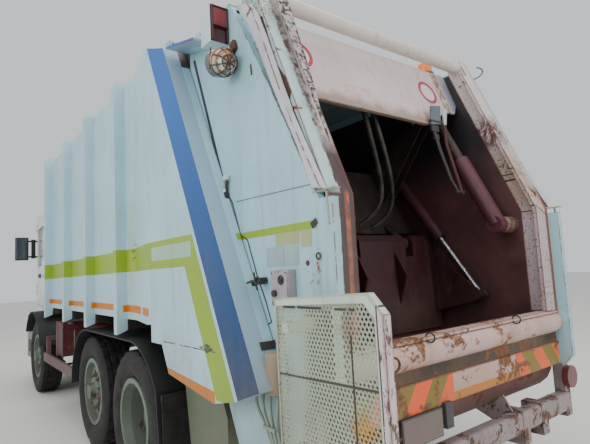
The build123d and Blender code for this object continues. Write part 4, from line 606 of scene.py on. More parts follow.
paint("guardPlastic", (26, 27, 28), (20, 21, 22), 0, 0, rough=0.6, streaks=0, grime=0.2, soil=(60, 57, 54),
      low=0.4, high=1.4, dents=0.3)
paint("guardPaint", (100, 72, 70), (80, 58, 56), 0.3, 0.5, rough=0.6, streaks=0, grime=0.3, low=0.4, high=1.1)
paint("bumperPaint", (132, 136, 136), (120, 124, 124), 0.05, 0.3, rough=0.45, streaks=0.15, grime=0.5, low=0.3,
      high=1.1)
paint("trimPlastic", (40, 40, 42), (32, 32, 34), 0, 0, rough=0.5, streaks=0, grime=0.25, low=1, high=2.2,
      dents=0.1)
paint("rimPaint", (112, 126, 112), (88, 98, 86), 0.3, 0.4, edgeWidth=0.008, rustSize=7, rough=0.55, streaks=0,
      grime=0.5, soil=(70, 66, 58), low=0.1, high=1.1, rusts=((54, 36, 28), (104, 70, 48)))
paint("lampHousing", (92, 92, 90), (70, 70, 70), 0.15, 0.3, marks="lampMarks", rough=0.3, streaks=0.1,
      grime=0.15, coat=0.4)
paint("clearLens", (214, 218, 218), (188, 192, 190), 0, 0, rough=0.12, streaks=0, grime=0.2, coat=0.8,
      metal=0.35)
paint("ejectorPaint", (110, 60, 52), (92, 70, 62), 0.5, 0.5, rough=0.6)
rubber("tyreRubber", (13, 13, 14), 0.10, 0.78, 90)
rubber("hoseRubber", (28, 28, 30), 0.25, 0.55, 90)
rubber("dashPlastic", (62, 62, 64), 0.15, 0.6, 200)
cloth("seatCloth", (52, 54, 62), (84, 86, 94))
glass("paneGlass", (176, 196, 196), 0.3)
chrome("rodChrome", (196, 198, 204), 0.16)
chrome("mirrorGlass", (96, 104, 112), 0.05)

nodesWith = {  # the CAD nodes of each finish; tyres and rims go by name, and the others are trim
    "framePaint": "frame_rails front_axle rear_axles body_floor tie_rod",
    "castMetal": "engine_block drive_line knuckle_left knuckle_right", "tankPaint": "chassis_tanks",
    "guardPlastic": "mudguards", "guardPaint": "side_guards", "bumperPaint": "front_bumper",
    "containerPaint": "body_front_wall body_wall_left body_wall_right body_roof body_cheeks",
    "cabPaint": "cab_shell door_left door_right", "dashPlastic": "cab_interior",
    "paneGlass": "windscreen door_glass_left door_glass_right", "gateSidePaint": "tailgate_sides tailgate_roof",
    "columnPaint": "tailgate_columns", "headerPaint": "tailgate_header", "tubePaint": "cross_tube",
    "sillPaint": "tailgate_sill", "bowlPaint": "hopper_bowl", "screenPaint": "side_screen",
    "beamPaint": "underrun_bar", "lampHousing": "rear_lamps", "hoodPaint": "control_box", "trayPaint": "sump_tray",
    "clearLens": "headlamps", "ramPaint": "carriage_cylinders blade_barrels", "carriagePaint": "packer_carriage",
    "packerPaint": "packer_blade", "rodChrome": "blade_rods", "ejectorPaint": "ejector_plate",
}
finishOfNode = {name: finish for finish, names in nodesWith.items() for name in names.split()}
for name, node in nodes.items():
    wheelPart = {"tyre": "tyreRubber", "rim_": "rimPaint"}.get(name[:4])
    node.data.materials.clear()
    node.data.materials.append(finishes[wheelPart or finishOfNode.get(name, "trimPlastic")])
print("finishes")


# modelling helpers

def each(pieces):
    return pieces if isinstance(pieces, list) else [pieces]


def deselectAll():
    if bpy.context.object and bpy.context.object.mode != "OBJECT":
        bpy.ops.object.mode_set(mode="OBJECT")
    bpy.ops.object.select_all(action="DESELECT")


def onlyThis(piece):
    deselectAll()
    piece.select_set(True)
    bpy.context.view_layer.objects.active = piece


def named(name):
    piece = bpy.context.object
    piece.name = piece.data.name = name
    bpy.ops.object.transform_apply(location=True, rotation=True, scale=True)
    return piece


def turnTo(direction):
    return Vector(direction).to_track_quat("Z", "Y").to_euler()


def startBlock(name, centre, size, turn=(0, 0, 0)):
    deselectAll()
    bpy.ops.mesh.primitive_cube_add(size=1, location=centre, rotation=turn)
    bpy.context.object.scale = size
    return named(name)


def startRound(name, centre, radius, length, direction=(0, 0, 1), sides=32):
    deselectAll()
    bpy.ops.mesh.primitive_cylinder_add(vertices=sides, radius=radius, depth=length, location=centre,
                                        rotation=turnTo(direction))
    return named(name)


def startRing(name, centre, radius, thickness, direction, sides, around):
    deselectAll()
    bpy.ops.mesh.primitive_torus_add(major_radius=radius, minor_radius=thickness, major_segments=sides,
                                     minor_segments=around, location=centre, rotation=turnTo(direction))
    return named(name)


def startLoop(name, corners, fill="NGON"):  # a flat outline through the corners
    deselectAll()
    bpy.ops.mesh.primitive_circle_add(vertices=len(corners), radius=1, fill_type=fill)
    piece = named(name)
    for vertex, corner in zip(piece.data.vertices, corners):
        vertex.co = corner
    piece.data.update()
    return piece


def startEdit(piece, faces="DESELECT"):
    onlyThis(piece)
    bpy.ops.object.mode_set(mode="EDIT")
    bpy.ops.mesh.select_mode(type="FACE")
    bpy.ops.mesh.select_all(action=faces)


def leaveEdit():
    bpy.ops.object.mode_set(mode="OBJECT")


def pickFaces(piece, test):  # edit mode with the faces that pass the test chosen
    startEdit(piece)
    shape = bmesh.from_edit_mesh(piece.data)
    for face in shape.faces:
        face.select_set(bool(test(face)))
    bmesh.update_edit_mesh(piece.data)


def insetFaces(piece, test, thickness, depth=0.0, push=None):
    pickFaces(piece, test)
    bpy.ops.mesh.inset(thickness=thickness, depth=depth)
    if push:
        bpy.ops.mesh.extrude_region_move(TRANSFORM_OT_translate={"value": tuple(push)})
    leaveEdit()


def mergeDoubles(piece, distance=0.00005):
    startEdit(piece, "SELECT")
    bpy.ops.mesh.remove_doubles(threshold=distance)
    bpy.ops.mesh.normals_make_consistent(inside=False)
    leaveEdit()


def applyModifier(piece, kind, **values):
    onlyThis(piece)
    modifier = piece.modifiers.new(kind.title(), kind)
    for title, value in values.items():
        setattr(modifier, title, value)
    bpy.ops.object.modifier_apply(modifier=modifier.name)


def thicken(piece, thickness, distance=0.00005):
    applyModifier(piece, "SOLIDIFY", thickness=thickness, offset=0.0)
    mergeDoubles(piece, distance)
    return piece


def soften(pieces, width, segments=2):  # one piece or a list
    for piece in each(pieces):
        applyModifier(piece, "BEVEL", width=width, segments=segments, limit_method="ANGLE",
                      angle_limit=math.radians(35))
    return pieces


def smooth(piece, angle):
    onlyThis(piece)
    bpy.ops.object.shade_smooth_by_angle(angle=math.radians(angle))


def startPlate(name, corners, thickness):
    return thicken(startLoop(name, corners), thickness)


def startRibbon(name, first, second, thickness):  # a bent strip between two rows of points
    deselectAll()
    bpy.ops.mesh.primitive_grid_add(x_subdivisions=1, y_subdivisions=len(first) - 1, size=1)
    piece = named(name)
    for vertex, corner in zip(piece.data.vertices, [corner for pair in zip(first, second) for corner in pair]):
        vertex.co = corner
    piece.data.update()
    return thicken(piece, thickness)


def startCurve(name, points, curved, steps):
    line = bpy.data.curves.new(name, "CURVE")
    line.dimensions = "3D"
    spline = line.splines.new("NURBS" if curved else "POLY")
    spline.points.add(len(points) - 1)
    for point, spot in zip(spline.points, points):
        point.co = (*spot, 1)
    if curved:
        spline.order_u = 3
        spline.use_endpoint_u = True
    line.resolution_u = steps
    return addObject(name, line)


def startWire(name, points, radius, curved=True, sides=3):  # a round bar, pipe or hose along the points
    piece = startCurve(name, points, curved, 6)
    piece.data.bevel_depth = radius
    piece.data.bevel_resolution = sides
    piece.data.use_fill_caps = True
    onlyThis(piece)
    bpy.ops.object.convert(target="MESH")
    piece = bpy.context.object
    mergeDoubles(piece)
    smooth(piece, 50)
    return piece


def atX(x, line, ahead=0.0, up=0.0):  # the line's y and z points on the plane x
    return [(x, y + ahead, z + up) for y, z in line]


def copyOf(piece, name, matrix):
    twin = piece.copy()
    twin.data = piece.data.copy()
    twin.name = name
    bpy.context.scene.collection.objects.link(twin)
    twin.data.transform(matrix)
    if matrix.determinant() < 0:
        twin.data.flip_normals()
    return twin


def joined(name, pieces):
    deselectAll()
    for piece in pieces:
        piece.select_set(True)
    bpy.context.view_layer.objects.active = pieces[0]
    if len(pieces) > 1:
        bpy.ops.object.join()
    whole = bpy.context.object
    whole.name = whole.data.name = name
    return whole


def coat(piece, finish):
    piece.data.materials.clear()
    piece.data.materials.append(finishes[finish])


def fit(name, parts, finish, body="tailgate", replaced=None):  # the parts as one finished piece
    piece = joined(name, each(parts))
    coat(piece, finish)
    if replaced in nodes:
        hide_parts(replaced)
    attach(piece, body)
    return piece


def fitBothSides(name, one, finish, body="tailgate"):  # the piece with its mirror image
    fit(name, [one, copyOf(one, name, Matrix.Scale(-1, 4, (1, 0, 0)))], finish, body)


# tyres with tread blocks, and wheel nuts

tyre = {"radius": 0.52, "steps": 72, "blockHeight": 0.010, "gap": 0.004, "twinHalf": 0.137, "singleHalf": 0.145}
tyreRings = (  # share of half width, radius
    (0.743, 0.2865), (0.743, 0.312), (0.93, 0.352), (1.0, 0.398), (0.99, 0.440), (0.93, 0.478), (0.83, 0.502),
    (0.76, 0.5095), (0.46, 0.5098), (0.40, 0.5045), (0.36, 0.5098), (0.06, 0.510),
)
nut = {"circle": 0.150, "radius": 0.0165, "height": 0.024, "count": 10, "washer": 0.022}
wheels = {  # centre x, axle y, half the spacing of a twin
    "front_left": (1.035, -2.8, 0), "front_right": (-1.035, -2.8, 0), "second_left": (1.05, 0.28, 0),
    "second_right": (-1.05, 0.28, 0), "drive_left": (0.93, 1.56, 0.16), "drive_right": (-0.93, 1.56, 0.16),
}


def makeTyre(centreX, axleY, halfWidth, side):
    hub = Vector((centreX, axleY, tyre["radius"]))

    def isBlock(face):
        middle = face.calc_center_median() - hub
        share = abs(middle.x) / halfWidth
        around = math.atan2(middle.z, middle.y) * tyre["steps"] / (2 * math.pi)
        if math.hypot(middle.y, middle.z) <= 0.49 or 0.34 <= share <= 0.5:
            return False
        return int(around + 100) % 3 != (0 if share > 0.5 else 1) and share >= 0.06

    half = [(side * u * halfWidth, r) for u, r in tyreRings]
    line = half + [(-u, r) for u, r in reversed(half)]
    piece = startLoop("tyrePart", [hub + Vector((u, 0, r)) for u, r in line], "NOTHING")
    onlyThis(piece)
    bpy.ops.object.mode_set(mode="EDIT")
    bpy.ops.mesh.select_mode(type="VERT")
    shape = bmesh.from_edit_mesh(piece.data)
    shape.verts.ensure_lookup_table()
    inner = {shape.verts[0], shape.verts[len(line) - 1]}
    bmesh.ops.delete(shape, geom=[e for e in shape.edges if set(e.verts) == inner], context="EDGES")
    bmesh.update_edit_mesh(piece.data)
    bpy.ops.mesh.select_all(action="SELECT")
    bpy.ops.mesh.spin(steps=tyre["steps"], angle=2 * math.pi, center=hub, axis=(1, 0, 0))
    leaveEdit()
    mergeDoubles(piece, 0.0004)
    pickFaces(piece, isBlock)
    bpy.ops.mesh.inset(thickness=tyre["gap"], depth=0.0)
    bpy.ops.mesh.extrude_region_shrink_fatten(TRANSFORM_OT_shrink_fatten={"value": tyre["blockHeight"]})
    leaveEdit()
    smooth(piece, 30)
    return piece


def makeWheelNuts(faceX, axleY, side):
    centre = Vector((faceX, axleY, tyre["radius"]))
    top = centre + Vector((0, 0, nut["circle"]))
    ahead = Vector((side, 0, 0))
    head = startRound("nut", top + ahead * 0.012, nut["radius"], nut["height"], ahead, 6)
    insetFaces(head, lambda f: f.normal.x * side > 0.9, 0.004, push=ahead * 0.012)
    washer = startRound("washer", top + ahead * 0.002, nut["washer"], 0.006, ahead, 16)
    one = joined("nut", [soften(head, 0.0015, 1), soften(washer, 0.001, 1)])
    turns = [Matrix.Rotation(2 * math.pi * k / nut["count"], 4, "X") for k in range(1, nut["count"])]
    return [one] + [copyOf(one, "nut", Matrix.Translation(centre) @ turn @ Matrix.Translation(-centre))
                    for turn in turns]


for title, (centreX, axleY, spacing) in wheels.items():
    side = 1 if centreX > 0 else -1
    half = tyre["twinHalf"] if spacing else tyre["singleHalf"]
    parts = [makeTyre(centreX + offset, axleY, half, side) for offset in ((spacing, -spacing) if spacing else (0,))]
    fit("treadTyre_" + title, parts, "tyreRubber", title + "_wheel", "tyre_" + title)
    nuts = makeWheelNuts(centreX + side * (0.016 if spacing else 0.084), axleY, side)
    fit("wheelNuts_" + title, nuts, "castMetal", title + "_wheel")
print("tyres and nuts")


# perforated side screen

screen = {"pitch": 0.020, "hole": 0.0066, "x": 1.244, "thick": 0.003, "rimX": 1.2465, "rimThick": 0.007,
          "blankY": (3.905, 3.955), "blankZ": 1.16}
screenOutside = ((3.54, 0.56), (3.54, 1.462), (4.09, 1.490), (4.16, 1.417), (4.16, 0.56))
screenInside = ((3.552, 0.60), (3.552, 1.428), (4.073, 1.451), (4.120, 1.401), (4.120, 0.60))


def isOnScreen(y, z, margin):
    if y < 3.54 + margin or y > 4.16 - margin or z < 0.56 + margin:
        return False
    top = 1.462 + (y - 3.54) * 0.0509 if y < 4.09 else 1.490 - (y - 4.09) * 1.043
    return z < top - margin


def makeScreenSheet():
    pitch = screen["pitch"]
    row = pitch * 0.866
    deselectAll()
    bpy.ops.mesh.primitive_circle_add(vertices=6, radius=pitch / math.sqrt(3), location=(0, 0, 0), fill_type="NGON")
    cell = bpy.context.object
    startEdit(cell, "SELECT")
    bpy.ops.transform.rotate(value=math.radians(30), orient_axis="Z", center_override=(0, 0, 0))
    bpy.ops.mesh.inset(thickness=pitch * 0.5 - screen["hole"])
    leaveEdit()
    cell.data.transform(Matrix(((0, 0, 1, screen["x"]), (1, 0, 0, 0), (0, 1, 0, 0), (0, 0, 0, 1))))
    shape = bmesh.new()
    shape.from_mesh(cell.data)
    seed = [[v.co.copy() for v in f.verts] for f in shape.faces]
    shape.clear()
    for j in range(int(0.95 / row)):
        for i in range(int(0.66 / pitch) + 1):
            y = 3.53 + i * pitch + (pitch / 2 if j % 2 else 0)
            z = 0.55 + j * row
            blank = screen["blankY"][0] < y < screen["blankY"][1] and z > screen["blankZ"]
            for corners in seed if isOnScreen(y, z, 0.014) else ():
                if blank or len(corners) != 6:  # the six-sided face fills the hole
                    shape.faces.new([shape.verts.new(c + Vector((0, y, z))) for c in corners])
    bmesh.ops.remove_doubles(shape, verts=shape.verts, dist=0.0004)
    shape.to_mesh(cell.data)
    shape.free()
    return thicken(cell, screen["thick"], distance=0.0001)


def makeScreenRim():
    loops = [startLoop("rimLoop", atX(screen["rimX"], line), "NOTHING") for line in (screenOutside, screenInside)]
    rim = joined("screenRim", loops)
    onlyThis(rim)
    bpy.ops.object.mode_set(mode="EDIT")
    bpy.ops.mesh.select_mode(type="EDGE")
    bpy.ops.mesh.select_all(action="SELECT")
    bpy.ops.mesh.bridge_edge_loops()
    leaveEdit()
    return soften(thicken(rim, screen["rimThick"], distance=0.0001), 0.0015, 1)


def makeScreenFrame():
    parts = [makeScreenRim()]
    for (ya, za), (yb, zb) in zip(screenOutside, screenOutside[1:] + screenOutside[:1]):
        inward = Vector((zb - za, ya - yb)).normalized() * 0.003
        middle = (1.2275, (ya + yb) / 2 + inward.x, (za + zb) / 2 + inward.y)
        bar = startBlock("edgeBar", middle, (0.041, math.hypot(yb - ya, zb - za), 0.006),
                         (math.atan2(zb - za, yb - ya), 0, 0))
        parts.append(soften(bar, 0.0015, 1))
    arms = [startBlock("screenArm", (1.165, 3.6, 1.34), (0.16, 0.05, 0.05)),
            startBlock("screenArm", (1.2, 3.61, 0.64), (0.09, 0.05, 0.05))]
    return parts + soften(arms, 0.006)


fit("screenFrame", makeScreenFrame(), "screenPaint", replaced="side_screen")
fit("screenSheet", makeScreenSheet(), "sheetPaint")
# black strips where the slots show the shaded gap behind the sheet, painted shade
slots = [startBlock("slotGap", (1.2506, (a + b) / 2, 1.430), (0.0015, b - a, 0.009))
         for a, b in ((3.60, 3.685), (3.70, 3.85), (3.925, 3.985), (4.0, 4.03))]
fit("screenSlots", soften(slots, 0.0005, 1), "seamBlack")
creases = [startWire("crease", ((1.2455, 3.55, 1.146), (1.2465, 3.85, 1.153), (1.2455, 4.13, 1.160)), 0.0035),
           startWire("seam", ((1.2455, 3.998, 1.34), (1.247, 4.0, 1.15), (1.2455, 3.996, 0.6)), 0.003)]
fit("screenCreases", creases, "sheetPaint")
ring = startRing("screenRing", (1.2, 4.150, 1.246), 0.024, 0.0045, (0.25, 1, 0), 28, 8)
fit("screenRing", ring, "rustyIron")
print("screen")


# header, its signs, the lamp cage and the flank's small parts

header = {"slope": 0.34, "y": 3.196, "z": 2.6, "thick": 0.018}
headerNormal = Vector((0, 1, header["slope"])).normalized()
headerOutline = (  # x, z of the header's rear face
    (0.95, 3.13), (0.95, 2.60), (-0.472, 2.60), (-0.545, 2.63), (-0.735, 2.752), (-0.885, 2.762), (-0.972, 2.87),
    (-0.972, 3.13),
)
headerFoot = ((0.95, 2.602), (-0.472, 2.602))
signs = {"places": ((0.665, 2.905), (-0.604, 2.90)), "radius": 0.112, "thick": 0.003, "rim": 0.24}
lampCage = {"place": Vector((1.171, 3.010, 2.760)), "ring": 0.0735, "wire": 0.0034, "depth": 0.088}
cageWire = ((1, 0.02), (1, 0.07), (0.6, 0.096), (0, 0.101), (-0.6, 0.096), (-1, 0.07), (-1, 0.02))  # out, ahead
cornerEdge = ((3.10, 0.862), (2.86, 0.884), (2.60, 0.904), (2.45, 0.922), (2.32, 0.937), (2.16, 0.949))  # z, x


def onHeader(x, z, lift=0.0):
    return Vector((x, header["y"] - header["slope"] * (z - header["z"]), z)) + headerNormal * lift


def makeCornerStrip():  # rusty inner edge of the left column, over the header's end
    heights = [(3.262 + (3.10 - z) * 0.405, z) for z, x in cornerEdge]
    front = [(x, y, z) for (z, x), (y, z) in zip(cornerEdge, heights)]
    strip = startRibbon("cornerStrip", atX(0.958, heights), front, 0.006)
    fit("cornerStrip", soften(strip, 0.0015, 1), "cornerRust")


def makeHeader():
    plate = startPlate("header", [onHeader(x, z, -0.009) for x, z in headerOutline], header["thick"])
    behind = Vector((0, 0.05, -0.004))
    fold = startRibbon("fold", [onHeader(x, z, -0.001) for x, z in headerFoot],
                       [onHeader(x, z, -0.002) - behind for x, z in headerFoot], 0.008)
    top = startBlock("top", (0, 2.99, 3.124), (1.90, 0.055, 0.010))
    ribs = [startBlock("rib", (x, 3.04, 2.86), (0.008, 0.07, 0.5), (0.32, 0, 0)) for x in (-0.40, 0.40)]
    parts = [soften(plate, 0.003)] + soften([fold, top] + ribs, 0.0015, 1)
    fit("headerPlate", parts, "headerPaint", replaced="tailgate_header")


def makeSigns():  # blank round signs with a red rim
    whites, reds = [], []
    radius, thick = signs["radius"], signs["thick"]
    for x, z in signs["places"]:
        disc = startRound("disc", onHeader(x, z, thick / 2), radius, thick, headerNormal, 48)
        whites.append(soften(disc, 0.0008, 1))
        band = startRound("band", onHeader(x, z, thick), radius * 0.93, 0.0024, headerNormal, 48)
        pickFaces(band, lambda f: abs(f.normal.dot(headerNormal)) > 0.9)
        bpy.ops.mesh.inset(thickness=radius * signs["rim"])
        bpy.ops.mesh.delete(type="FACE")
        bpy.ops.mesh.select_mode(type="EDGE")
        bpy.ops.mesh.select_all(action="DESELECT")
        bpy.ops.mesh.select_non_manifold()
        bpy.ops.mesh.bridge_edge_loops()
        leaveEdit()
        mergeDoubles(band)
        reds.append(band)
    fit("signFaces", whites, "signWhite")
    fit("signRims", reds, "signRed")


def makeLampCage():
    ahead = Vector((0, 1, -0.35)).normalized()
    across = Vector((1, 0, 0))
    upward = ahead.cross(across).normalized()
    middle, ring, wire, depth = (lampCage[k] for k in ("place", "ring", "wire", "depth"))
    parts = [startRing("cageBase", middle + ahead * 0.037, ring, wire * 1.2, ahead, 32, 8),
             startRing("cageFront", middle + ahead * (depth + 0.006), ring * 0.52, wire, ahead, 28, 8),
             startRing("cageMiddle", middle + ahead * 0.074, ring * 0.9, wire * 0.8, ahead, 32, 8)]
    for k in range(4):
        turn = math.radians(22.5 + 45 * k)
        out = (across * math.cos(turn) + upward * math.sin(turn)) * ring
        parts.append(startWire("cageWire", [middle + out * u + ahead * v for u, v in cageWire], wire))
    parts.append(startWire("whisker", ((1.235, 3.02, 2.83), (1.248, 3.03, 2.79), (1.249, 3.03, 2.70)), 0.004))
    parts.append(soften(startRound("collar", middle + ahead * 0.032, 0.0775, 0.014, ahead, 32), 0.003))
    fit("lampCage", parts, "darkIron")


lipEdges = (  # y, z of the folded lip's left and right edges
    ((3.068, 3.09), (3.125, 3.039), (3.235, 2.861), (3.363, 2.574), (3.466, 2.359), (3.568, 2.159), (3.656, 1.94)),
    ((3.19, 3.05), (3.245, 2.976), (3.32, 2.803), (3.42, 2.552), (3.510, 2.334), (3.614, 2.124), (3.715, 1.93)),
)
# painted shadow: y, z of the dark shadow gap down the tailgate's flank
shadowSeamLine = ((2.502, 2.985), (2.829, 2.113), (2.936, 1.979), (3.009, 1.79), (3.079, 1.756), (3.161, 1.556),
            (3.226, 1.438), (3.271, 1.33), (3.225, 1.313), (3.312, 1.102))
# painted shadow: y, z of the dark strip along the gap between the lip and the column
gapShadowLine = ((3.24, 2.95), (3.271, 2.869), (3.367, 2.583), (3.468, 2.366), (3.568, 2.151), (3.66, 1.966))
gussetOutline = ((3.273, 2.784), (3.365, 2.65), (3.445, 2.54), (3.478, 2.457), (3.455, 2.396), (3.412, 2.394),
                 (3.329, 2.559))


def makeGateLip():
    left, right = lipEdges
    return joined("lip", [startRibbon("flat", atX(1.0995, left), atX(1.0995, right), 0.006),
                          startRibbon("back", atX(1.0975, left), atX(1.0855, left), 0.005),
                          startRibbon("turned", atX(1.0995, right), atX(1.056, right, -0.006), 0.005)])


# dark strips standing in for the shadow gap down the flank, painted shadow
def makeSeams():
    top, low = shadowSeamLine[:2], shadowSeamLine[1:]
    return joined("seams", [startRibbon("thick", atX(1.0872, top), atX(1.0872, top, 0.022, 0.008), 0.003),
                            startWire("thin", atX(1.0862, low), 0.0042, False, 1),
                            startWire("fold", atX(1.0857, ((2.969, 1.98), (3.67, 1.962))), 0.0018, False, 1)])


def makeLedge():
    shelf = startBlock("shelf", (1.066, 3.712, 1.925), (0.044, 0.145, 0.007), (0.02, 0, 0))
    strip = startRibbon("strip", atX(1.083, ((3.729, 1.92), (3.741, 1.768))),
                        atX(1.083, ((3.741, 1.92), (3.750, 1.768))), 0.006)
    return joined("ledge", [soften(shelf, 0.0015, 1), strip])


# a rusty gusset plate, and a dark strip along the gap beside the lip that is painted shadow
def makeGusset():
    return joined("gusset", [startPlate("plate", atX(1.049, gussetOutline), 0.006),
                             startRibbon("gap", atX(1.048, gapShadowLine), atX(1.048, gapShadowLine, 0.020, 0.004), 0.004)])


labels = (  # y from, y to, z from, z to, finish
    (3.34, 3.527, 1.703, 1.765, "oliveLabel"), (3.54, 3.62, 1.685, 1.76, "oliveLabel"),
    (3.253, 3.40, 1.605, 1.70, "paleLabel"), (3.405, 3.52, 1.605, 1.695, "paleLabel"),
)
softParts = {  # finish, slot, bevel width and segments, then the centre, size and turn of each block
    "lampBrackets": ("rustyIron", "chassis_dark", 0.004, 2,
     ((1.098, 3.035, 2.865), (0.024, 0.05, 0.06), (0.3, 0, 0)), ((1.106, 3.0, 2.82), (0.04, 0.02, 0.09), (0.2, 0, 0.3)),
     ((1.0868, 3.19, 2.672), (0.004, 0.016, 0.062), (0.12, 0, 0))),
    "boxLampFrame": ("darkMaroon", "hopper_red", 0.002, 1,
     ((1.142, 2.974, 3.117), (0.098, 0.012, 0.008)), ((1.142, 2.974, 3.003), (0.098, 0.012, 0.008)),
     ((1.1905, 2.967, 3.02), (0.010, 0.014, 0.212)), ((1.0935, 2.967, 3.02), (0.010, 0.014, 0.212))),
    "latchCaps": ("signWhite", "cab_white", 0.004, 2,
     ((1.108, 2.91, 2.128), (0.026, 0.03, 0.026), (0.2, 0, 0)),
     ((1.11, 2.885, 2.056), (0.01, 0.03, 0.022), (0.1, 0, 0))),
    "beamCaps": ("darkMaroon", "hopper_red", 0.012, 3,
     ((1.043, 3.625, 0.554), (0.012, 0.125, 0.115)), ((-1.043, 3.625, 0.554), (0.012, 0.125, 0.115))),
    "plateHolder": ("dashPlastic", "trim_black", 0.003, 2,
     ((0.508, 3.698, 0.774), (0.316, 0.006, 0.144)), ((0.30, 3.69, 0.795), (0.06, 0.04, 0.13))),
}


def makeSoftPart(name):
    finish, slotName, width, segments, *blocks = softParts[name]
    fit(name, soften([startBlock(name, *block) for block in blocks], width, segments), finish)


def makeLatches():
    softened = [startBlock("body", (1.104, 2.892, 2.02), (0.03, 0.034, 0.05), (0.1, 0, 0)),
                startBlock("foot", (1.098, 2.902, 1.965), (0.02, 0.05, 0.022)),
                startBlock("body", (1.102, 3.125, 1.525), (0.03, 0.055, 0.034)),
                startBlock("tab", (1.0885, 3.645, 1.785), (0.006, 0.045, 0.03), (0.5, 0, 0)),
                startRound("hole", (1.0862, 3.582, 1.61), 0.013, 0.004, (1, 0, 0), 16),
                startBlock("ear", (1.10, 3.135, 1.135), (0.026, 0.115, 0.06), (-0.05, 0, 0))]
    plain = [startBlock("block", (1.115, 3.235, 1.535), (0.058, 0.036, 0.030), (0.2, 0, 0)),
             startBlock("lug", (1.130, 3.262, 1.212), (0.086, 0.078, 0.040), (0.35, 0, 0)),
             startRing("ring", (1.118, 3.10, 1.53), 0.02, 0.005, (1, 0, 0.2), 20, 8),
             startRing("ring", (1.156, 3.262, 1.540), 0.016, 0.005, (1, 0.2, 0.2), 20, 8),
             startRing("eye", (1.174, 3.252, 1.214), 0.019, 0.006, (1, 0, 0), 20, 8),
             startRing("ring", (1.094, 3.668, 1.637), 0.014, 0.0035, (1, 0, 0), 20, 6),
             startWire("rod", ((1.098, 2.884, 1.975), (1.104, 2.894, 2.04), (1.098, 2.904, 2.115)), 0.009),
             startWire("wire", ((1.10, 3.12, 1.54), (1.105, 3.04, 1.545), (1.10, 2.96, 1.532)), 0.004),
             startWire("wire", ((1.150, 3.16, 1.528), (1.155, 3.22, 1.542), (1.145, 3.285, 1.532)), 0.006),
             startWire("wire", ((1.148, 3.225, 1.580), (1.154, 3.235, 1.538), (1.148, 3.250, 1.492)), 0.005)]
    fit("flankLatches", soften(softened, 0.003) + plain, "darkIron")
    makeSoftPart("latchCaps")
    block = startRound("cornerBlock", (1.138, 3.352, 1.100), 0.047, 0.19, (0, 0.06, 1), 24)
    fit("cornerBlock", soften(block, 0.008), "beigeBlock")


def makeLabels():  # blank
    for k, (ya, yb, za, zb, finish) in enumerate(labels):
        plate = startBlock("label", (1.0858, (ya + yb) / 2, (za + zb) / 2), (0.003, yb - ya, zb - za))
        insetFaces(plate, lambda f: f.normal.x > 0.9, 0.006, -0.0008)
        fit("blankLabel%d" % k, plate, finish)


def makeControlBox():
    case = startBlock("case", (1.107, 3.415, 1.50), (0.044, 0.147, 0.170))
    insetFaces(case, lambda f: f.normal.x > 0.9, 0.008, push=(0.006, 0, 0))
    conduit = startWire("pipe", ((1.11, 3.36, 1.42), (1.105, 3.35, 1.34), (1.10, 3.33, 1.2), (1.10, 3.32, 1.03)), 0.009)
    fit("switchBox", [soften(case, 0.005, 3), conduit], "hoodPaint", replaced="control_box")
    knobs = [startRound("dial", (1.136, 3.436, 1.538), 0.012, 0.012, (1, 0, 0), 24),
             startRound("knob", (1.140, 3.384, 1.476), 0.016, 0.02, (1, 0, 0), 24)]
    screws = [startRound("screw", (1.1355, y, z), 0.004, 0.003, (1, 0, 0), 12)
              for y, z in ((3.36, 1.572), (3.472, 1.572), (3.36, 1.432), (3.472, 1.432))]
    ring = startRing("dialRing", (1.136, 3.436, 1.538), 0.019, 0.0045, (1, 0, 0), 28, 8)
    fit("switchKnobs", [ring] + soften(knobs, 0.002) + soften(screws, 0.0008, 1), "darkIron")


def makePipeBundle():
    parts = [soften(startBlock("clamp", (1.135, 3.292, 0.835), (0.03, 0.10, 0.018)), 0.003)]
    for k, (x, y) in enumerate(((1.150, 3.19), (1.152, 3.25), (1.150, 3.31), (1.146, 3.365))):
        end = 3.262 + 0.022 * k
        line = ((x - 0.045, y - 0.02, 1.06), (x - 0.01, y, 0.99), (x, y + 0.004, 0.93), (x - 0.02, end, 0.82),
                (x - 0.05, end + 0.01, 0.70))
        parts.append(startWire("pipe", line, 0.0085))
    fit("pipeBundle", parts, "pipeGreen")


makeCornerStrip()
makeHeader()
makeSigns()
makeLampCage()
makeSoftPart("lampBrackets")
makeSoftPart("boxLampFrame")
fitBothSides("gateLip", makeGateLip(), "lipPaint")
fitBothSides("flankSeams", makeSeams(), "seamBlack")
fitBothSides("columnShelves", makeLedge(), "screenPaint")
fitBothSides("rustGussets", makeGusset(), "gapRust")
makeLatches()
makeLabels()
makeControlBox()
makePipeBundle()
print("flank parts")


# mouth: apron, hanging arm, hook, hoses, number plate, rings and the beam's parts

apron = {"halfWidth": 1.02, "thick": 0.005, "line": (
    (3.640, 0.862), (3.622, 0.800), (3.590, 0.738), (3.535, 0.690), (3.46, 0.664), (3.34, 0.644), (3.16, 0.632))}
armBars = (  # the two edges of each bar
    (((-0.445, 3.21, 2.60), (-0.505, 3.222, 2.404), (-0.532, 3.278, 2.17), (-0.566, 3.308, 2.079)),
     ((-0.487, 3.21, 2.60), (-0.541, 3.222, 2.404), (-0.562, 3.278, 2.17), (-0.590, 3.308, 2.079))),
    (((-0.584, 3.224, 2.61), (-0.590, 3.224, 2.452), (-0.612, 3.262, 2.256), (-0.614, 3.308, 2.067)),
     ((-0.620, 3.224, 2.61), (-0.622, 3.224, 2.452), (-0.644, 3.262, 2.256), (-0.642, 3.308, 2.067))),
)
hookLine = ((-1.012, 3.22, 3.037), (-1.106, 3.235, 3.073), (-1.175, 3.24, 3.125), (-1.19, 3.24, 3.15),
            (-1.165, 3.24, 3.172), (-1.105, 3.24, 3.162))
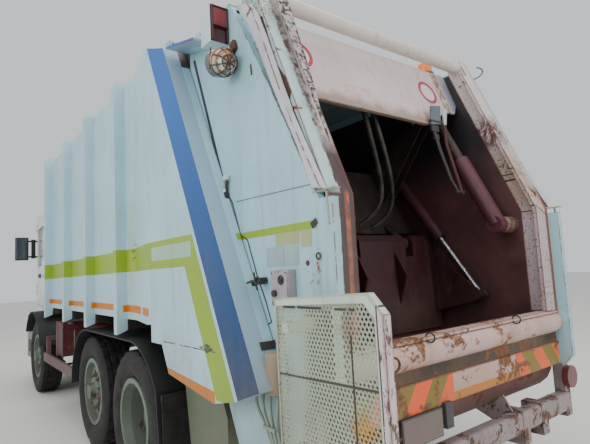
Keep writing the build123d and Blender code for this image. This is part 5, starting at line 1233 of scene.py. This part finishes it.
hoses = {
    "left": ((0.08, 3.02, 2.74), (0.075, 3.05, 2.66), (0.022, 3.04, 2.492), (-0.083, 3.0, 2.296),
             (-0.187, 2.93, 2.148), (-0.232, 2.86, 2.033), (-0.19, 2.78, 1.935), (-0.14, 2.72, 1.89)),
    "right": ((-0.01, 3.02, 2.74), (-0.015, 3.05, 2.661), (-0.106, 3.04, 2.436), (-0.207, 3.0, 2.256),
              (-0.316, 2.92, 2.105), (-0.35, 2.85, 1.985), (-0.31, 2.78, 1.907), (-0.26, 2.72, 1.87)),
    "radius": 0.017, "rib": 0.0035, "ribbed": "left", "ribSteps": 9,
}


def makeApron():  # rounded dark panel under the board, running forward to the bowl
    wide, line, thick = apron["halfWidth"], apron["line"], apron["thick"]
    parts = [startRibbon("sheet", atX(wide, line), atX(-wide, line), thick)]
    parts += [startPlate("end", atX(x, line + ((3.16, 0.862),)), thick) for x in (wide, -wide)]
    whole = joined("apron", parts)
    smooth(whole, 40)
    fit("hopperApron", whole, "bowlPaint")


def makeHangingArm():
    corners = [(x, 3.222, z) for x, z in ((-0.446, 2.726), (-0.565, 2.745), (-0.55, 2.60), (-0.435, 2.585))]
    head = startPlate("head", corners, 0.014)
    pale = startRibbon("pale", ((-0.585, 3.228, 2.726), (-0.583, 3.226, 2.60)),
                       ((-0.640, 3.228, 2.735), (-0.618, 3.226, 2.606)), 0.012)
    # the head takes the darkened bracket paint, which is painted shade; its pale top keeps the lip paint
    fit("armHead", soften(head, 0.003), "bracketPaint")
    fit("armTop", soften(pale, 0.003), "lipPaint")
    one, two = (startRibbon("bar", first, second, 0.010) for first, second in armBars)
    parts = [one, startRound("pin", (-0.60, 3.306, 2.082), 0.010, 0.10, (1, 0, 0), 16),
             startRound("pin", (-0.53, 3.218, 2.615), 0.014, 0.19, (1, 0, 0), 16),
             startBlock("block", (-0.49, 3.212, 2.565), (0.085, 0.02, 0.05)),
             startBlock("block", (-0.50, 3.214, 2.50), (0.05, 0.02, 0.045))]
    fit("hangingArm", soften(parts, 0.002, 1), "darkIron")
    fit("armBar.001", soften(two, 0.002, 1), "darkMaroon")


def startRibs(points):  # a ring at each step of the hose's middle line
    guide = startCurve("guide", points, True, hoses["ribSteps"])
    mesh = bpy.data.meshes.new_from_object(guide)
    line = [v.co.copy() for v in mesh.vertices]
    bpy.data.objects.remove(guide)
    bpy.data.meshes.remove(mesh)
    return [startRing("rib", (before + here) / 2, hoses["radius"], hoses["rib"], here - before, 14, 5)
            for before, here in zip(line, line[1:])]


def makeHoses():
    for side in ("left", "right"):
        points = hoses[side]
        parts = [startWire("hose", points, hoses["radius"], True, 4)]
        parts += startRibs(points) if side == hoses["ribbed"] else []
        hose = joined("packerHose_" + side, parts)
        coat(hose, "hoseRubber")
        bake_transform(hose)


def makePlate():  # blank
    face = startBlock("plate", (0.508, 3.702, 0.774), (0.304, 0.006, 0.132))
    insetFaces(face, lambda f: f.normal.y > 0.9, 0.006, -0.0015)
    fit("blankPlate", soften(face, 0.001, 1), "plateFace")
    makeSoftPart("plateHolder")


def makeSillRings():
    rings = [startRing("ring", (x, 3.722, 1.205), 0.024, 0.0045, (1, 0.2, 0), 24, 8) for x in (0.43, -0.43)]
    fit("sillRings", rings, "darkIron")


def makeBeamClamps():
    clamps = [startBlock("clamp", (x, 3.628, 0.545), (0.085, 0.138, 0.20)) for x in (-0.485, -0.725, 0.485, 0.725)]
    for clamp in clamps:
        insetFaces(clamp, lambda f: abs(f.normal.x) > 0.9, 0.03, -0.02)
    fit("beamClamps", soften(clamps, 0.006), "beamPaint")


makeApron()
makeHangingArm()
fit("cornerHook", startWire("hook", hookLine, 0.005), "darkIron")
makeHoses()
makePlate()
makeSillRings()
makeBeamClamps()
makeSoftPart("beamCaps")
print("mouth parts")


# chassis, cab and mirrors

flap = {"x": 0.93, "y": 2.145, "width": 0.58, "top": 0.80, "low": 0.28, "thick": 0.008, "rows": 6, "sweep": 0.03}
mirror = {"place": (1.240, -3.7235, 2.170), "size": (0.168, 0.004, 0.352)}
pullLine = ((1.088, -2.99), (1.108, -3.0), (1.108, -3.11), (1.088, -3.12))
cushions = (  # name, y, z, size
    ("seatCushion_", -2.89, 1.66, (0.45, 0.49, 0.10)), ("seatBack_", -2.655, 1.97, (0.44, 0.09, 0.72)),
)


def makeMudFlap():
    shares = [k / flap["rows"] for k in range(flap["rows"] + 1)]
    line = [(flap["y"] + flap["sweep"] * k ** 2, flap["top"] - (flap["top"] - flap["low"]) * k) for k in shares]
    half = flap["width"] / 2
    sheet = startRibbon("sheet", atX(flap["x"] - half, line), atX(flap["x"] + half, line), flap["thick"])
    rail = startBlock("rail", (flap["x"], flap["y"] - 0.008, flap["top"] - 0.02), (flap["width"], 0.02, 0.05))
    return joined("flap", [soften(sheet, 0.002, 1), soften(rail, 0.004, 1)])


def makeDoorParts(side, name):
    x, y, z = mirror["place"]
    pane = startBlock("pane", (side * x, y, z), mirror["size"])
    insetFaces(pane, lambda f: abs(f.normal.y) > 0.9, 0.006, 0.0006)
    fit("mirrorPane_" + name, soften(pane, 0.0015), "mirrorGlass", name + "_door")
    pull = startWire("pull", [(side * x, y, 1.70) for x, y in pullLine], 0.009)
    dish = startBlock("dish", (side * 1.0875, -3.055, 1.70), (0.005, 0.17, 0.07))
    fit("doorPull_" + name, [pull, soften(dish, 0.002)], "trimPlastic", name + "_door")


def makeWipers():
    parts = []
    for x in (-0.42, 0.10):
        low, high = Vector((x, -4.068, 1.955)), Vector((x + 0.36, -4.008, 2.22))
        parts.append(startWire("arm", (low, low.lerp(high, 0.5) + Vector((0, -0.012, 0)), high), 0.006))
        blade = (high + Vector((-0.17, -0.004, -0.2)), high + Vector((0.08, 0.002, 0.11)))
        parts.append(startWire("blade", blade, 0.006, False))
        parts.append(soften(startRound("boss", low, 0.018, 0.03, (0, -1, 0.2), 16), 0.003))
    fit("wipers", parts, "trimPlastic", "cab")


def makeTankStraps():
    straps = [startBlock("strap", (1.101, y, 0.82), (0.008, 0.05, 0.40)) for y in (-1.72, -1.4, -0.75)]
    cap = startRound("cap", (1.03, -1.2, 1.075), 0.045, 0.03, (0, 0, 1), 24)
    insetFaces(cap, lambda f: f.normal.z > 0.9, 0.01, 0.004)
    fit("tankStraps", soften(straps, 0.002, 1) + [soften(cap, 0.003)], "castMetal", "chassis")


def makeCushion(name, centre, size):
    pad = startBlock(name, centre, size)
    startEdit(pad, "SELECT")
    bpy.ops.mesh.subdivide(number_cuts=5)
    leaveEdit()
    middle, half = Vector(centre), Vector(size) / 2
    for vertex in pad.data.vertices:
        part = [(vertex.co[k] - middle[k]) / half[k] for k in range(3)]
        for k in range(3):
            one, two = (part[j] for j in range(3) if j != k)
            vertex.co[k] -= part[k] * half[k] * 0.10 * (1 - (1 - one ** 2) * (1 - two ** 2))
    applyModifier(pad, "SUBSURF", levels=1, render_levels=1)
    smooth(pad, 60)
    fit(name, pad, "seatCloth", "cab")


fitBothSides("mudFlaps", makeMudFlap(), "tyreRubber", "chassis")
for side, name in ((1, "left"), (-1, "right")):
    makeDoorParts(side, name)
makeWipers()
makeTankStraps()
for side, name in ((1, "left"), (-1, "right")):
    for title, y, z, size in cushions:
        makeCushion(title + name, (side * 0.64, y, z), size)
print("chassis and cab parts")
